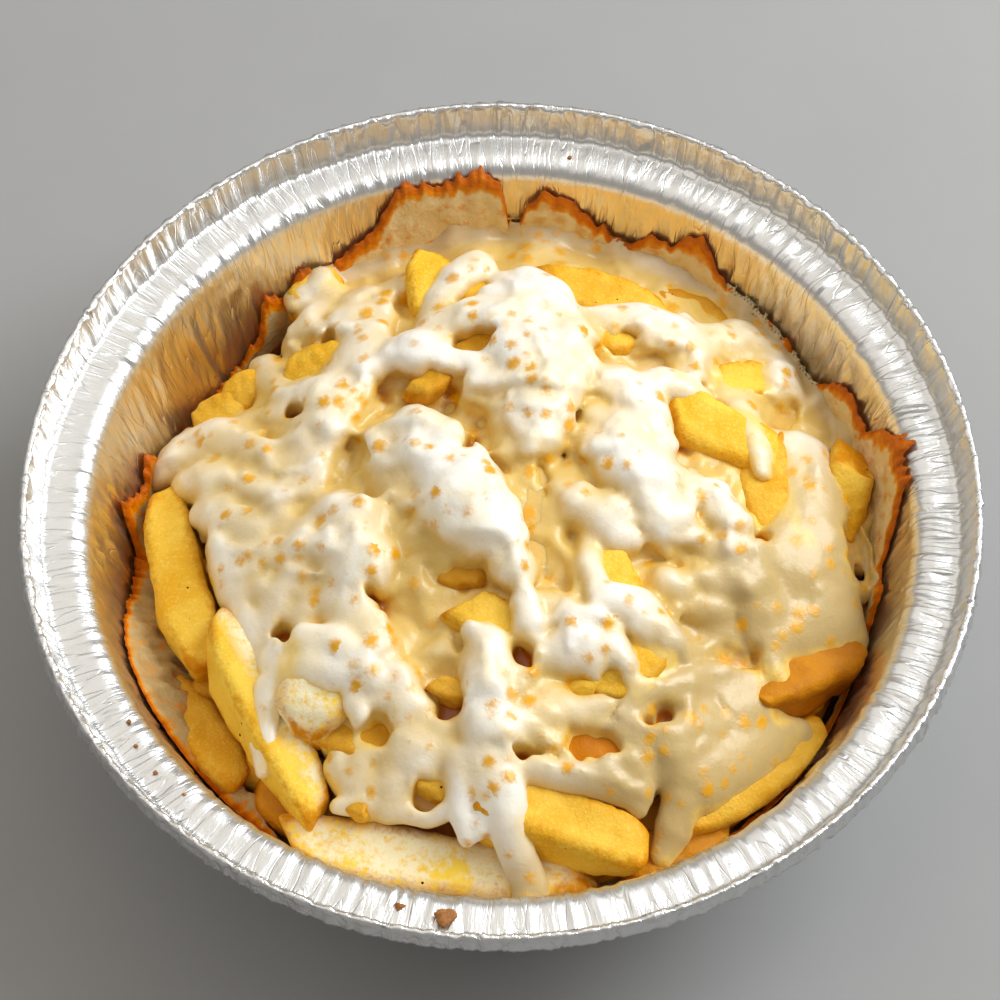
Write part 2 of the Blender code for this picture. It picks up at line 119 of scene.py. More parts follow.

# Fries that show: both ends as x, y and rise of the axis over the heap, width, depth, bow,
# roll in degrees, tone from pale 0 to brown 1 (for left_bottom also its painted shade), cheese left on it
# in millimetres
FRIES = {
    "left_top": ((-67.5, 15.0, -0.8), (-56.6, -27.5, -0.8), 11.5, 10.0, 1.5, 10, 0.18, -1.0),
    "left_middle": ((-55.7, -19.5, 1.8), (-34.3, -59.2, -1.2), 12.0, 11.0, 0.0, -12, 0.12, -1.0),
    "left_low": ((-65.4, -24.9, -6.5), (-50.1, -48.4, -6.5), 10.0, 9.5, 0.5, 0, 0.35, -1.0),
    # left_bottom's high tone is browning and painted shade of the deep place it lies in
    "left_bottom": ((-47.0, -47.0, -9.0), (-29.0, -62.0, -9.0), 11.0, 10.0, 0.0, 10, 0.90, -1.0),
    "front_long": ((-39.0, -60.8, -4.3), (16.5, -69.8, -5.0), 12.0, 11.0, 2.0, 8, 0.02, -1.0),
    "front_fat": ((-7.5, -57.0, -1.0), (26.5, -65.7, -1.2), 12.5, 12.5, 0.5, -5, 0.24, -1.0),
    "front_right": ((34.0, -59.8, -4.5), (61.4, -37.2, -5.0), 11.0, 10.5, 0.0, 15, 0.52, -1.0),
    "right_brown": ((49.0, -34.5, -2.0), (70.0, -17.8, -4.0), 13.0, 11.5, 0.0, 0, 1.0, -1.0),
    "right_leaning": ((68.0, 5.5, -4.0), (70.5, 18.5, 6.0), 9.5, 9.5, 0.0, 0, 0.40, -1.0),
    "right_low": ((72.0, -12.0, -9.0), (72.5, 8.0, -7.0), 9.0, 9.0, 0.0, 20, 0.95, -1.0),
    "right_bright": ((31.0, 26.5, 0.0), (55.0, 17.0, -1.0), 12.5, 11.0, 1.5, 0, 0.20, -1.0),
    "right_curved": ((52.6, 21.5, -1.5), (57.5, -6.0, -1.5), 11.0, 10.5, 3.0, 0, 0.30, -1.0),
    "back_middle": ((6.0, 58.5, -2.0), (33.0, 52.0, -2.5), 11.5, 10.5, 0.0, 0, 0.25, -1.0),
    "back_tip": ((-13.5, 46.0, -3.0), (-15.5, 65.5, 5.0), 10.0, 9.0, 0.0, 0, 0.20, -1.0),
    "back_tip_low": ((-3.0, 48.0, -3.0), (-5.0, 57.5, 1.0), 9.0, 9.0, 0.0, 0, 0.25, -1.0),
    "back_left": ((-41.6, 37.9, -1.8), (-28.5, 39.5, -1.8), 10.0, 9.5, 0.0, 0, 0.25, -1.0),
    "back_corner": ((-43.0, 56.0, -1.5), (-34.0, 65.0, 2.5), 11.0, 10.0, 0.0, 0, 0.20, -0.5),
    "wall_left": ((-62.0, 32.0, -3.8), (-51.5, 36.0, -3.8), 9.5, 9.0, 0.0, 0, 0.30, -1.0),
    "wall_left_upper": ((-56.0, 36.0, -3.2), (-48.0, 42.5, -2.6), 8.5, 8.5, 0.0, 0, 0.35, -1.0),
    "centre": ((-8.5, -21.6, -2.2), (3.2, -28.4, -2.2), 10.5, 10.0, 0.0, 0, 0.40, -1.0),
    "window_back": ((18.0, 38.0, -0.4), (30.0, 43.5, -0.4), 5.5, 6.0, 0.0, 0, 0.35, 0.3),
    "window_top": ((-9.0, 37.5, 0.0), (1.5, 38.2, 0.0), 5.5, 6.0, 0.0, 0, 0.50, -1.0),
    "window_right": ((42.0, 31.0, -1.0), (55.0, 38.0, -1.0), 9.5, 7.0, 0.0, 0, 0.30, 0.3),
    "window_left": ((-18.5, 25.5, 0.5), (-10.5, 30.0, 1.0), 5.5, 6.0, 0.0, 0, 0.50, -1.0),
    "window_middle": ((-11.5, -15.4, -1.8), (-1.5, -15.6, -1.8), 4.8, 5.0, 0.0, 0, 0.70, -1.0),
    "window_near": ((-17.0, -53.0, -1.5), (-8.0, -57.0, -1.5), 6.0, 7.0, 0.0, 0, 0.50, 0.4),
    "window_near_left": ((-34.0, -45.0, -2.5), (-19.0, -47.0, -2.5), 9.0, 8.0, 0.0, 0, 0.50, 0.4),
    "nub_near": ((-13.0, -37.5, 0.5), (-5.5, -40.5, 0.5), 4.5, 5.5, 0.0, 0, 0.55, -0.8),
    "wall_back_right": ((33.0, 57.0, -5.0), (53.0, 55.0, -5.0), 9.0, 9.0, 0.0, 0, 0.60, -0.6),
    "centre_right": ((18.0, -8.0, -1.5), (24.0, -22.0, -2.0), 10.0, 10.0, 0.0, 0, 0.25, -1.0),
    "end_right": ((30.0, -27.5, -1.2), (20.6, -38.8, -1.2), 11.0, 10.5, 0.0, 0, 0.35, -0.8),
    "tip_right": ((20.5, -32.0, -3.0), (12.8, -39.2, -1.8), 8.0, 8.0, 0.0, 20, 0.35, -1.0),
    "end_left": ((-33.5, -27.5, 0.3), (-36.3, -45.5, 0.3), 15.0, 12.0, 0.0, 0, 0.03, -1.0),
    "front_crossing": ((10.0, -48.6, -3.0), (27.0, -48.0, -3.4), 10.0, 9.0, 0.0, 0, 0.90, 0.5),
    "front_under": ((24.0, -66.0, -7.5), (42.0, -60.0, -8.0), 10.5, 10.0, 0.0, 0, 0.75, -1.0),
    "stub": ((-28.3, -58.7, 1.0), (-24.2, -59.0, 0.8), 4.5, 4.5, 0.0, 0, 0.55, -0.6),
}

# Fries whose ends are blunter than chance has it: how much narrower each end is
POINTED = {
    "front_fat": (0.1, 0.05), "right_leaning": (0.1, 0.05), "right_brown": (0.3, 0.1),
    "window_right": (0.2, 0.3), "back_middle": (0.2, 0.25), "end_right": (0.1, 0.05),
}

# Cheese left on a fry under which it is bare
BARE = -0.9

# Tone under which a fry's faces are floury and pale
STARCHY = 0.06

# A fry's form by seeded chance: power of its section's superellipse, power of the rounding at its
# ends, taper to both ends, growth from one end to the other, twist in radians, narrowing of each
# end, and slant of the end faces; then how far the flat sides sag, the radius of the long edges
# and the room to the wall
FRY_POWER = (3.8, 5.8)
FRY_END_POWER = (4.0, 9.0)
FRY_TAPER = (0.02, 0.12)
FRY_GROWTH = (-0.15, 0.15)
FRY_TWIST = (-0.16, 0.16)
FRY_NARROWING = (0.0, 0.5)
FRY_SLANT = (-0.7, 0.7)
FRY_SAG = 0.05
FRY_EDGE = 2.6
FRY_ROOM = 1.2

# Waves of a fry's skin: length, seed and height of each kind
FRY_SOFT = (9.0, 21, 0.34)
FRY_ROUGH = (2.6, 22, 0.15)

# Browning of a fry: the shares of its long edges, its ends and its soft waves, and how much its tone
# differs round it
CRISP_SHARES = (0.75, 0.8, 0.27)
TONE_SWAY = 0.10

# Fries inside the heap, laid by seeded chance
HIDDEN_FRIES = 46
HIDDEN_SEED = 11
HIDDEN_SPREAD = 62.0
HIDDEN_LIMIT = 69.0
HIDDEN_SWAY = (-0.3, 0.3)
HIDDEN_RISE = (-11.0, -7.5)
HIDDEN_LENGTH = (34.0, 62.0)
HIDDEN_WIDTH = (9.5, 12.0)
HIDDEN_FLATTER = (0.5, 1.5)
HIDDEN_BOW = (-2, 2)
HIDDEN_ROLL = (-40, 40)
HIDDEN_TONE = (0.35, 0.9)

# Core inside the heap, coloured as its painted shade: radius, depth under the heap's surface, waves of
# its top as length, seed and height, height of its floor, and how much narrower the floor is
CORE_RADIUS = 70.5
CORE_DEPTH = 12.0
CORE_WAVES = (14.0, 5, 1.5)
CORE_FLOOR = 1.2
CORE_FOOT = 0.88

# Turn from one to the next in a spiral that covers a disc evenly, in radians
GOLDEN_TURN = 2.39996

# Cheese: how far out the blanket lies by azimuth
CHEESE_REACH = {
    -179: 59, -165: 56, -148: 55, -138: 57, -126: 55, -116: 62,
    -104: 62, -97: 64, -90: 66, -83: 62, -76: 55, -66: 58,
    -56: 66, -44: 64, -32: 64, -25: 58, -16: 71, -6: 74,
    4: 75, 14: 84, 122: 84, 132: 66, 144: 62, 156: 73, 167: 65,
}

# Ropes of melted cheese: points along each as x, y, height of its crest over the heap, radius
ROPES = (
    # Lobes round the top of the heap
    ((-5.5, 60, 7.5, 4), (-9, 57.5, 7.5, 4.2), (-12, 52.5, 6, 3.6), (-13.5, 48, 4.5, 3.2)),
    ((-2, 50.5, 6.5, 2.4), (1.5, 49.5, 7.2, 2.6), (4, 45.5, 7.5, 3)),
    ((-13, 43.5, 6, 4), (-6, 44, 8, 5), (1, 41, 9.3, 6), (6.5, 33.5, 9.8, 6.5), (9, 25, 9.8, 6.5),
     (8, 17, 8.5, 5.2), (8, 13, 6.5, 3.8)),
    ((-14.5, 41, 5.5, 4.2), (-10.5, 34, 5.5, 4), (-6, 29.5, 5.5, 4), (0.5, 26.5, 6, 5)),
    ((2.5, 24, 6, 4.5), (1.5, 17, 4.6, 4), (1, 11, 3, 3.5)),
    ((0.5, 55.5, 5.5, 2.8), (5.5, 55.5, 7.5, 3.8), (10, 51.5, 8, 4), (12.5, 44, 8, 3.8),
     (14, 36.5, 7.5, 4), (13.5, 29, 7.5, 4.5)),
    ((-21, 37, 5.5, 3.8), (-17, 37, 7, 4.6), (-13.5, 33.5, 7, 4.2), (-10.5, 30.5, 5.5, 3)),
    # Broad fold left of the middle and its flank
    ((-22, 14.5, 5.5, 4.5), (-17, 15.5, 7, 5.5), (-12.5, 9.5, 8, 6.5), (-8, 2, 8.5, 7),
     (-4.5, -4.5, 8.5, 7), (-1.5, -10, 7.5, 5.5), (0.5, -14, 6, 4)),
    ((-21, 9, 4.6, 6), (-17, 2.5, 5, 7), (-12.5, -4.5, 4.4, 7), (-8, -11.5, 3.5, 5)),
    # Long fold from the back down to the left, and the cheese behind it
    ((-26.5, 49, 5, 4.5), (-28, 39, 5.6, 5.5), (-31, 30.5, 5.6, 6), (-35, 22.5, 5.4, 6),
     (-37.5, 15, 5, 5.5), (-38.5, 7.5, 4.4, 4.5)),
    ((-19.5, 60.5, 3.6, 4), (-27, 56, 4.6, 5), (-32, 50, 5, 4.6), (-35, 46, 4.2, 3.6)),
    ((-37.5, 55.5, 3.8, 3.5), (-40.5, 50.5, 4.2, 4), (-42.5, 49, 3.2, 3)),
    ((-39.5, 32.5, 3, 3), (-43.5, 32.5, 2.6, 3), (-48, 40.5, 2, 3.4), (-49, 44.5, 1.4, 3)),
    ((-42.5, 26, 3, 3), (-46.5, 26, 3, 3.4), (-50.5, 28, 2.4, 2.8)),
    # Rolls on the left, each below the last
    ((-69, 22, 2.4, 3.6), (-65, 24.5, 4, 5), (-59, 24.5, 4.8, 5.5), (-52, 20.5, 4.8, 5),
     (-45.5, 15.5, 4.4, 4.5), (-41.5, 9.5, 4, 4)),
    ((-63, 15.5, 3, 3), (-60, 15.5, 4, 4), (-55, 12.5, 4.8, 4.5), (-48.5, 8, 4.8, 4.5),
     (-44, 3, 4.5, 4.5), (-42.5, -3, 4.5, 4.2)),
    ((-59, 6.5, 3, 2.6), (-56, 5, 4, 3.6), (-52, 3.5, 4.8, 4.6), (-49, -0.5, 4.8, 5),
     (-46.5, -7, 4.8, 5), (-46.5, -12.5, 4.5, 4.5), (-45, -18.5, 4.4, 4), (-44, -22.5, 3.8, 3.2)),
    ((-54, -2.5, 3.8, 3.8), (-53, -8, 3.6, 3.6), (-52, -13, 3, 3)),
    ((-50.5, -12.5, 3.8, 3), (-49.5, -19, 3.8, 3), (-47.5, -24.5, 3.4, 3)),
    ((-46.5, -28, 2.6, 3.2), (-44.5, -33, 2.4, 2.8)),
    ((-44.8, -36, 6.2, 2.4), (-45.6, -43, 5.6, 2.4), (-44.8, -50, 5, 1.8)),
    ((-39.5, -11.5, 5, 3.2), (-42, -16, 5, 3.4), (-42.5, -21, 4.4, 3)),
    # White fold over the left of the middle, its flank and the roll that ends it
    ((-33.5, -1.5, 5.5, 5), (-29, -6.5, 7.2, 6.2), (-28.5, -14, 7.2, 6.4), (-29, -20, 6.6, 6),
     (-27.5, -25.5, 6.6, 5.4), (-25.5, -30.5, 6, 4.4), (-24.5, -34.5, 4.6, 3.2)),
    ((-37, -4, 4.8, 4.6), (-37.5, -10.5, 5, 5), (-38.5, -17, 4.8, 4.6), (-37.5, -22, 4.8, 4.2)),
    ((-42, -29.5, 6, 3.2), (-37.5, -29, 8.4, 3.8), (-32.5, -30.5, 9, 4), (-28, -34, 8, 3.6),
     (-25.5, -37, 6, 2.8)),
    ((-41, -33.8, 7.6, 2.4), (-36.5, -33.6, 8.6, 2.8), (-31.5, -36, 8.2, 2.6)),
    ((-28.5, -36.5, 6, 1.8), (-28, -41, 5.4, 1.8), (-27.5, -44, 4.6, 1.4)),
    # Stream from the middle over the two near fries, its branch and the drips beside it
    ((-4.5, -28.5, 5, 3), (-2.5, -32, 6, 4.4), (-2.5, -38, 6.4, 5), (-4, -44, 6, 4.4),
     (-3.5, -49, 6, 4.6), (-1.5, -54, 6.8, 4.6), (0.5, -59, 7.4, 3.8), (1.5, -64.5, 7, 3.2),
     (3.5, -69.5, 5.6, 2.8), (6, -73.5, 3, 2.8)),
    ((-1, -50, 6, 4), (5.4, -53, 5, 2.8), (11, -54.6, 4.8, 2.4), (18.5, -56, 4.4, 2.2),
     (23, -57, 3.8, 2)),
    ((-9, -44, 4, 4), (-9, -49, 4.4, 3.6), (-7, -54, 5.2, 3), (-7.3, -58.5, 5.2, 2.4),
     (-7.6, -62, 4.8, 1.8), (-6.5, -65.3, 4.2, 1.6)),
    ((-4.5, -52.5, 6, 3), (-3, -57, 6, 2.6), (-2.5, -61, 5.6, 2), (-4, -64.5, 4.8, 1.5)),
    ((3, -38, 3.6, 4.6), (8, -41, 3.4, 4.6), (14, -43.5, 3.2, 4), (20, -44, 3, 3.6),
     (26, -45.5, 3.2, 3.4)),
    ((3, -45, 3.8, 4.6), (8, -47, 3.6, 4.2), (12, -51.5, 3.4, 3.4), (20, -53.5, 3, 3),
     (26, -54, 2.8, 2.6)),
    # Sheet over the near left
    ((-21.5, -35.5, 4, 3), (-20.5, -40.5, 4, 3), (-20, -43, 3.2, 2.8)),
    ((-16, -43, 4, 3.2), (-17, -48.5, 4, 3.4), (-19.5, -53.5, 3.5, 3.4), (-21, -57.5, 2.8, 3)),
    ((-11, -47.5, 4.6, 2.6), (-13.5, -51, 4.6, 3.2), (-15.5, -54, 4, 3)),
    ((-29.5, -50.5, 3, 3.6), (-27, -54, 3, 3.6), (-25, -57, 2.6, 3)),
    ((-31, -58, 2, 1.2), (-28, -58.5, 2.6, 1.4), (-25, -58, 3, 1.4)),
    ((-21.5, -59.5, 2.2, 1.6), (-18, -60, 2.2, 1.5), (-13.5, -61, 2.2, 1.6), (-11, -60.5, 2.6, 1.6)),
    # Lumps right of the stream
    ((1.5, -11, 5.4, 3.4), (2.5, -16.5, 5.2, 3)),
    ((4.5, -23.5, 5.4, 2.8), (5.5, -27.5, 5.8, 3.2), (5.5, -30.5, 5, 2.6)),
    ((7.5, -33, 4.5, 3.4), (11.5, -32, 5.6, 4), (16, -31.5, 6.2, 4.4), (18, -34, 5.4, 3.2)),
    ((17.5, -9, 3, 2.4), (17, -15.5, 5, 2.4), (18.5, -20, 5.6, 2.8), (21, -22, 6.6, 3.6),
     (26, -23, 7.2, 4.2), (28.5, -26, 7.2, 4.2), (31, -29, 5.8, 3.2)),
    ((9, -23.5, 3.8, 4), (13, -25, 4.4, 4.4), (17, -26.5, 5, 4)),
    ((24, -35.5, 1.6, 2.6), (26, -36, 1.2, 2.6)),
    ((0.5, -45.5, 3.8, 2.8), (4.5, -44, 3.8, 3), (9, -43.5, 3.5, 2.8), (15, -43.5, 3.4, 2.8)),
    # Fold along the back right and the smooth sheet behind it
    ((16.5, 43, 4.2, 4), (22, 45.5, 5.4, 4.8), (28.5, 46, 6, 5.2), (35.5, 44, 6, 5.2),
     (40.5, 41, 5, 4.6)),
    ((44, 44.5, 3.8, 4.6), (50, 48.5, 3.8, 5), (55, 46.5, 3.8, 4.8), (57.5, 41.5, 3.4, 4.4),
     (56.5, 35, 2.8, 3.8)),
    ((37.5, 50, 3.4, 0.9), (40, 47, 3.6, 1.1), (43.5, 46, 3.6, 1.2)),
    ((38, 35.5, 3.4, 4.6), (41, 35, 3.4, 3.6)),
    # Ridge down the right of the middle and its lumps
    ((18.5, 27.5, 5.5, 4), (22.5, 27.5, 6.6, 4.8), (26.5, 23.5, 7.2, 5.4), (27.5, 16, 7.7, 5.8),
     (28, 8.5, 7.7, 5.8), (30, 2, 7.6, 5.8), (32, -3, 6.4, 4.8), (33, -6, 4.6, 3.2)),
    ((19.5, 19, 4.8, 4.6), (20.5, 12, 5, 5), (23, 5, 5.2, 4.6)),
    ((16.5, -1.5, 4.8, 4), (21, -4.5, 6.2, 4.6), (22.5, -7.5, 5.6, 3.4)),
    ((28, 27.5, 5.5, 3.4), (32.5, 29, 6.2, 3.4), (37, 28.5, 6.2, 3), (39.5, 28, 4.6, 2.2)),
    ((33.5, 7, 5, 3.2), (36.5, 4, 6, 4), (41.5, 2, 6.6, 4.2), (45, -3.5, 6.6, 4.4),
     (48, -8.5, 6.6, 4.6), (49.5, -13.5, 6, 4.6), (50.5, -18, 5.4, 4.4), (51.5, -22, 4.4, 4)),
    ((35.5, -3.5, 3.6, 4.2), (39.5, -8, 3.6, 4.6), (41, -13.5, 3.2, 5)),
    ((48.5, 26, 3.6, 3.2), (50.5, 20.5, 4.8, 3), (51.5, 15, 4.6, 2.4), (52, 11.5, 3.8, 1.8)),
    # Broad sheet on the right
    ((55, 19.5, 3.2, 4.4), (60.5, 18.5, 4.4, 5.6), (63.5, 12, 5, 6), (64, 5, 5, 6.6), (63, -3, 5, 7.4),
     (61.5, -10.5, 5, 8), (63, -16, 4.4, 7.6)),
    ((59, 12, 3.6, 3.6), (59, 5, 3.6, 3.4), (56, -2.5, 4, 4.2), (53, -8.5, 4.4, 4.6)),
    ((63.5, -17, 3.8, 6.4), (58.5, -20.5, 3.8, 5.4), (54, -23, 3.4, 4.4)),
    ((66, -17, 3, 4), (69.5, -18.5, 2, 2.5)),
    ((52, -26, 3.4, 3.2), (53.5, -29.5, 3.8, 2.6), (56, -32.5, 3.8, 2)),
    # Thin folds and strands at the near right
    ((32, -17, 3.4, 4), (38, -19, 3.2, 3), (42.5, -18.5, 2.6, 2.6)),
    ((18, -42.3, 3.4, 2.6), (26, -39, 4, 2.2), (30.5, -37.5, 4, 2.2), (38, -33.3, 3.6, 2.4),
     (44, -30, 2.8, 2.6)),
    ((28, -33, 3, 4.4), (35, -35.5, 2.8, 5), (42.5, -35, 2.4, 5), (49, -32.5, 2.2, 4)),
    ((24.5, -45.5, 4, 4), (29.5, -48, 4, 4.6), (34.5, -51.5, 3.4, 4.6)),
    ((34.5, -45, 3, 5), (41.5, -41, 3, 5), (49.5, -36, 2.4, 4.6)),
    ((37.5, -52, 3, 5.2), (44.5, -47, 2.8, 5.4), (52, -41, 1.4, 5), (58, -38.5, 0.2, 3.2)),
    ((34, -57, 2, 3.4), (32.5, -61, 0.6, 3.2), (30.5, -65.5, -1.4, 2.6)),
    ((24, -45, 4.2, 2.6), (26, -49, 4.4, 2.8), (26.3, -53, 4.2, 2.8), (26, -56.5, 3.4, 2.2),
     (25.6, -59, 2.6, 1.6)),
    ((21, -31.5, 6.2, 3.4), (23.3, -34.4, 6.4, 2.4), (24.6, -37.8, 5.6, 1.9)),
)

# Openings in the cheese: centre as x, y, height over the heap, then the three half sizes, turn
OPENINGS = (
    (-4.5, 37.5, 3.5, 4.8, 2.6, 5, 12),
    (-9.5, 26.5, 3.5, 2.3, 2.6, 6, 0),
    (-14.5, 27.5, 5, 3.6, 2.4, 3, 15),
    (-23.5, 27, 3.5, 1.1, 2, 6, 15),
    (-24, -20.5, 4, 1.1, 2.4, 6, 25),
    (-6.5, -16.5, 3.5, 4.2, 2, 6, 0),
    (-3, -24, 4.6, 4.8, 3.2, 3, -15),
    (4.5, -32.5, 3, 1.9, 2.4, 7, 40),
    (-10, -42, 3, 2.6, 2.6, 7, 0),
    (-14, -57.5, 2, 3, 2.6, 7, 10),
    (-23, -46, 3, 3.2, 2.6, 4, 30),
    (-30.5, -46, 3, 2.4, 2.2, 4, 0),
    (30, -42.6, 3, 3.2, 1.6, 7, 32),
    (45.5, -27.5, 3, 3.8, 2.2, 7, 0),
    (50.5, -4, 4, 1.7, 1.7, 6, 0),
    (57.5, 28.5, 2, 1.9, 3.6, 7, -30),
    (49, 34.8, 3, 3.6, 2, 4, 15),
    (23.8, 40.5, 3, 2.6, 1.2, 4, 10),
    (17, -49, 2, 4.8, 2.6, 3, 0),
    (48.5, 4.5, 5, 2, 3.4, 3, 20),
    (-42, -25.5, 3, 1.6, 2.4, 6, 10),
    (4.5, -51, 3, 3.4, 1, 6, 0),
    (-41, 25.5, 2.5, 1.8, 1.8, 5, 0),
    (-47, 21, 5, 1.8, 1.2, 3, 0),
    (7, -11.5, 3, 1, 2, 4, -35),
    (8, 4.5, 3, 0.9, 2.4, 4, 0),
    (36.5, 15.5, 3, 2.6, 1.3, 5, -20),
    (-6, 12, 3, 1.1, 4, 5, -15),
    (20.5, -37.5, 1, 1.4, 2.4, 6, 0),
    (-35, 45, 2.5, 1.4, 1.8, 6, 0),
    (71, -1, 4, 3, 7.5, 9, 0),
)

# Cheese field: sampling step, height band over the heap, half its width, softness of its joins, the
# deepest distance that counts in them, and the most triangles that its surface keeps
FIELD_STEP = 0.62
FIELD_LOW = -4.2
FIELD_HIGH = 13.0
FIELD_EXTENT = 80.0
JOIN_SOFTNESS = 0.5
DEEPEST_JOIN = -8
CHEESE_TRIANGLES = 190000

# Cover: its height over the heap, its underside, waves of its edge and of its top as length, seed
# and height, its fall at the edge (where it starts before the reach, its width and its depth), the
# width and height of its rise along the wall, and the room left at the wall
COVER = -0.6
COVER_BOTTOM = -3.4
EDGE_WAVES = (7.0, 31, 1.6)
COVER_WAVES = ((13.0, 32, 0.7), (5.0, 33, 0.3))
COVER_END = (2.5, 5.0, 9.0)
WALL_FILLET = (6.5, 5.0)
WALL_ROOM = 0.7

# Ropes: how many times wider they are than in the list, and half their height at most
ROPE_WIDER = 1.2
ROPE_TALL = 5.0

# Openings: height of their floor, softness of their sides, and the sides' waves as length, seed,
# height and number of sines
OPENING_FLOOR = -1.6
OPENING_SOFTNESS = 0.6
OPENING_WAVES = (4.0, 39, 0.5, 8)

# Cheese between the ropes: over what span it follows their height, how far below them it stays,
# and how wide the change is beside a bare fry
FILL_SPAN = 9.0
FILL_DEPTH = 2.3
CLEAR_SPAN = 2.4

# Half-melted shreds, laid by seeded chance in the valleys and, thinner, over all of it: number,
# seed, then limits of their half lengths, radii and crests over what they lie on
BROAD_SHREDS = (210, 17, (3.0, 8.0), (1.4, 2.8), (0.3, 1.5))
THIN_SHREDS = (260, 18, (4.0, 9.0), (1.0, 1.9), (0.1, 0.55))

# Shreds of both kinds: how far out they lie, how far round from the even spiral, the spread of their
# heading from straight down the heap and of their bend, all in radians, and how thin their ends are
SHRED_SPREAD = 69.0
SHRED_SWAY = (-0.2, 0.2)
SHRED_TURN = 0.6
SHRED_BEND = 0.4
SHRED_TAPER = 0.35

# Puffs over all of it, round on top with sharp creases between, and the finer waves on them: length,
# seed, height and number of sines of each kind; then the share of both that a bare fry leaves
PUFFS = ((26.0, 36, 1.2, 12), (12.0, 37, 0.55, 12), (5.5, 38, 0.15, 12))
RIPPLES = ((7.0, 34, 0.18, 12), (3.2, 35, 0.10, 10))
BARE_RUFFLE = 0.25

# What the cheese's material is told: the span over which a valley is judged and how much a low place
# counts as one, both for the painted shade there, and over what distance cheese is thin on a fry, by an
# opening or by the wall, where it is also darkened as painted shade
VALLEY_SPAN = 5.5
LOW_SHARE = 0.45
LOW_HEIGHT = 5.5
THIN_SPAN = 1.1
RIM_SPAN = 1.8
WALL_SPAN = 7.0

# Near right side of the cheese, darkened as painted shade: direction of its growth, where it starts and
# over what distance it grows
PAINTED_SHADE_WAY = (0.82, -0.57)
PAINTED_SHADE_START = 33.0
PAINTED_SHADE_SPAN = 18.0

# Cheese baked on to the wall: azimuth, height of its ragged edge, width of its brown border
WALL_FILM = (
    (-24, 13.0, 1.5), (-20, 15.0, 1.5), (-13, 21.0, 2.0), (-8, 28.0, 2.5), (-3, 27.5, 2.0),
    (1, 36.0, 2.5), (5, 43.0, 3.0), (10, 44.0, 4.5), (14, 42.0, 5.0), (18, 34.0, 3.0), (22, 34.5, 2.0),
    (26, 35.5, 3.5), (29, 31.0, 2.0), (33, 25.5, 1.5), (36, 28.0, 2.5), (41, 29.5, 0.6),
    (46, 30.0, 0.8), (51, 31.0, 1.0), (55, 35.0, 2.5), (58, 40.0, 5.5), (60, 39.0, 5.0),
    (63, 34.5, 1.2), (66, 34.5, 3.0), (69, 31.0, 2.5), (72, 31.5, 3.0), (75, 34.0, 2.5),
    (79, 38.0, 4.0), (82, 40.0, 4.5), (86, 37.0, 2.0), (88.5, 28.0, 0.8), (90, 41.0, 5.0),
    (93, 44.3, 4.5), (97, 42.5, 3.5), (102, 42.5, 2.5), (106, 43.5, 4.0), (109, 36.0, 4.5),
    (113, 32.0, 4.5), (118, 29.0, 4.5), (123, 31.5, 4.0), (127, 27.0, 3.5), (130, 31.5, 5.0),
    (133, 22.0, 3.0), (138, 19.0, 1.0), (150, 17.0, 1.0), (160, 20.0, 2.0), (163, 28.5, 6.0),
    (166, 23.0, 3.0), (170, 26.0, 4.0), (173, 31.0, 6.0), (177, 20.0, 3.0), (182, 19.0, 1.4),
    (190, 26.0, 1.2), (195, 29.5, 1.0), (202, 32.0, 1.0), (208, 31.0, 1.2), (214, 26.0, 1.4),
    (222, 22.0, 1.4), (240, 24.0, 1.6), (270, 27.0, 2.0), (300, 26.0, 3.5), (325, 18.0, 3.0),
)

# Film: its rows and columns, how far its foot lies below the heap's edge, its least height, how far
# its edge stays below the ledge, its thickness, how wide its thin border is and how thick at least,
# and its gap to the sheet's middle line
FILM_ROWS = 24
FILM_COLUMNS = 1500
FILM_FOOT = 9.0
FILM_SHORTEST = 2.0
FILM_BELOW_LEDGE = 0.15
FILM_THICKNESS = 0.7
FILM_BORDER = 2.0
FILM_LEAST = 0.15
FILM_GAP = 1.05

# Film: how far it fills the gap to the fries by azimuth, radius at which its waves are taken, waves
# of its edge as length, seed and height, its lumps, and its left side darkened as painted shade, as start
# and span
FILM_SKIRT = {170: 0, 183: 4, 195: 8, 212: 8, 224: 4, 236: 0}
FILM_WAVE_RADIUS = 75
FILM_RAGS = ((4.0, 41, 0.5), (1.5, 42, 0.4))
FILM_LUMPS = (4.0, 43)
FILM_PAINTED_SHADE = (25.0, 35.0)

# Crumbs: centre as x, y, z and size of each, their dents as length, seed and depth, and how much
# they are flattened
CRUMBS = (
    (-10.5, -85.0, 45.4, 1.9), (-18.5, -83.0, 45.2, 0.9), (14.2, 83.5, 45.2, 0.45),
    (-69.5, -46.0, 45.2, 0.5), (-68.0, -51.0, 45.2, 0.45), (-64.0, -56.5, 45.2, 0.5),
    (-57.5, -56.5, 42.0, 0.45), (-58.5, -61.0, 45.2, 0.5),
)
CRUMB_DENTS = (1.3, 51, 0.28)
CRUMB_FORM = (1.0, 0.8, 0.6)

# Lights: azimuth, elevation, distance, side, power in watts and colour of each, the point they are
# turned to, and the colour and strength of the pale surround
LIGHTS = {
    "key": (24, 42, 900, 560, 8.6, (0.94, 0.97, 1.0)),
    "fill": (130, 64, 1100, 1500, 5.2, (1.0, 0.95, 0.86)),
}
LIGHT_TARGET = (0, 0, 40)
SURROUND = (1.0, 0.955, 0.89, 1)
SURROUND_STRENGTH = 0.34

# Floor: half its side, and how far it lies below the pan
FLOOR_REACH = 2500.0
FLOOR_GAP = 0.05

# Camera, as fitted to the pan's rims: the point looked at, distance, elevation and lens
LOOK_AT = (-0.22, 1.74, 45.0)
CAMERA_DISTANCE = 600.0
CAMERA_ELEVATION = 60.3
SENSOR = 36.0
LENS = 111.06


# Numbers and curves

def smooth(share):
    """S-shaped step: 0 below 0, 1 above 1, and 3 s squared less 2 s cubed between."""
    share = np.clip(share, 0.0, 1.0)
    return share * share * (3.0 - 2.0 * share)


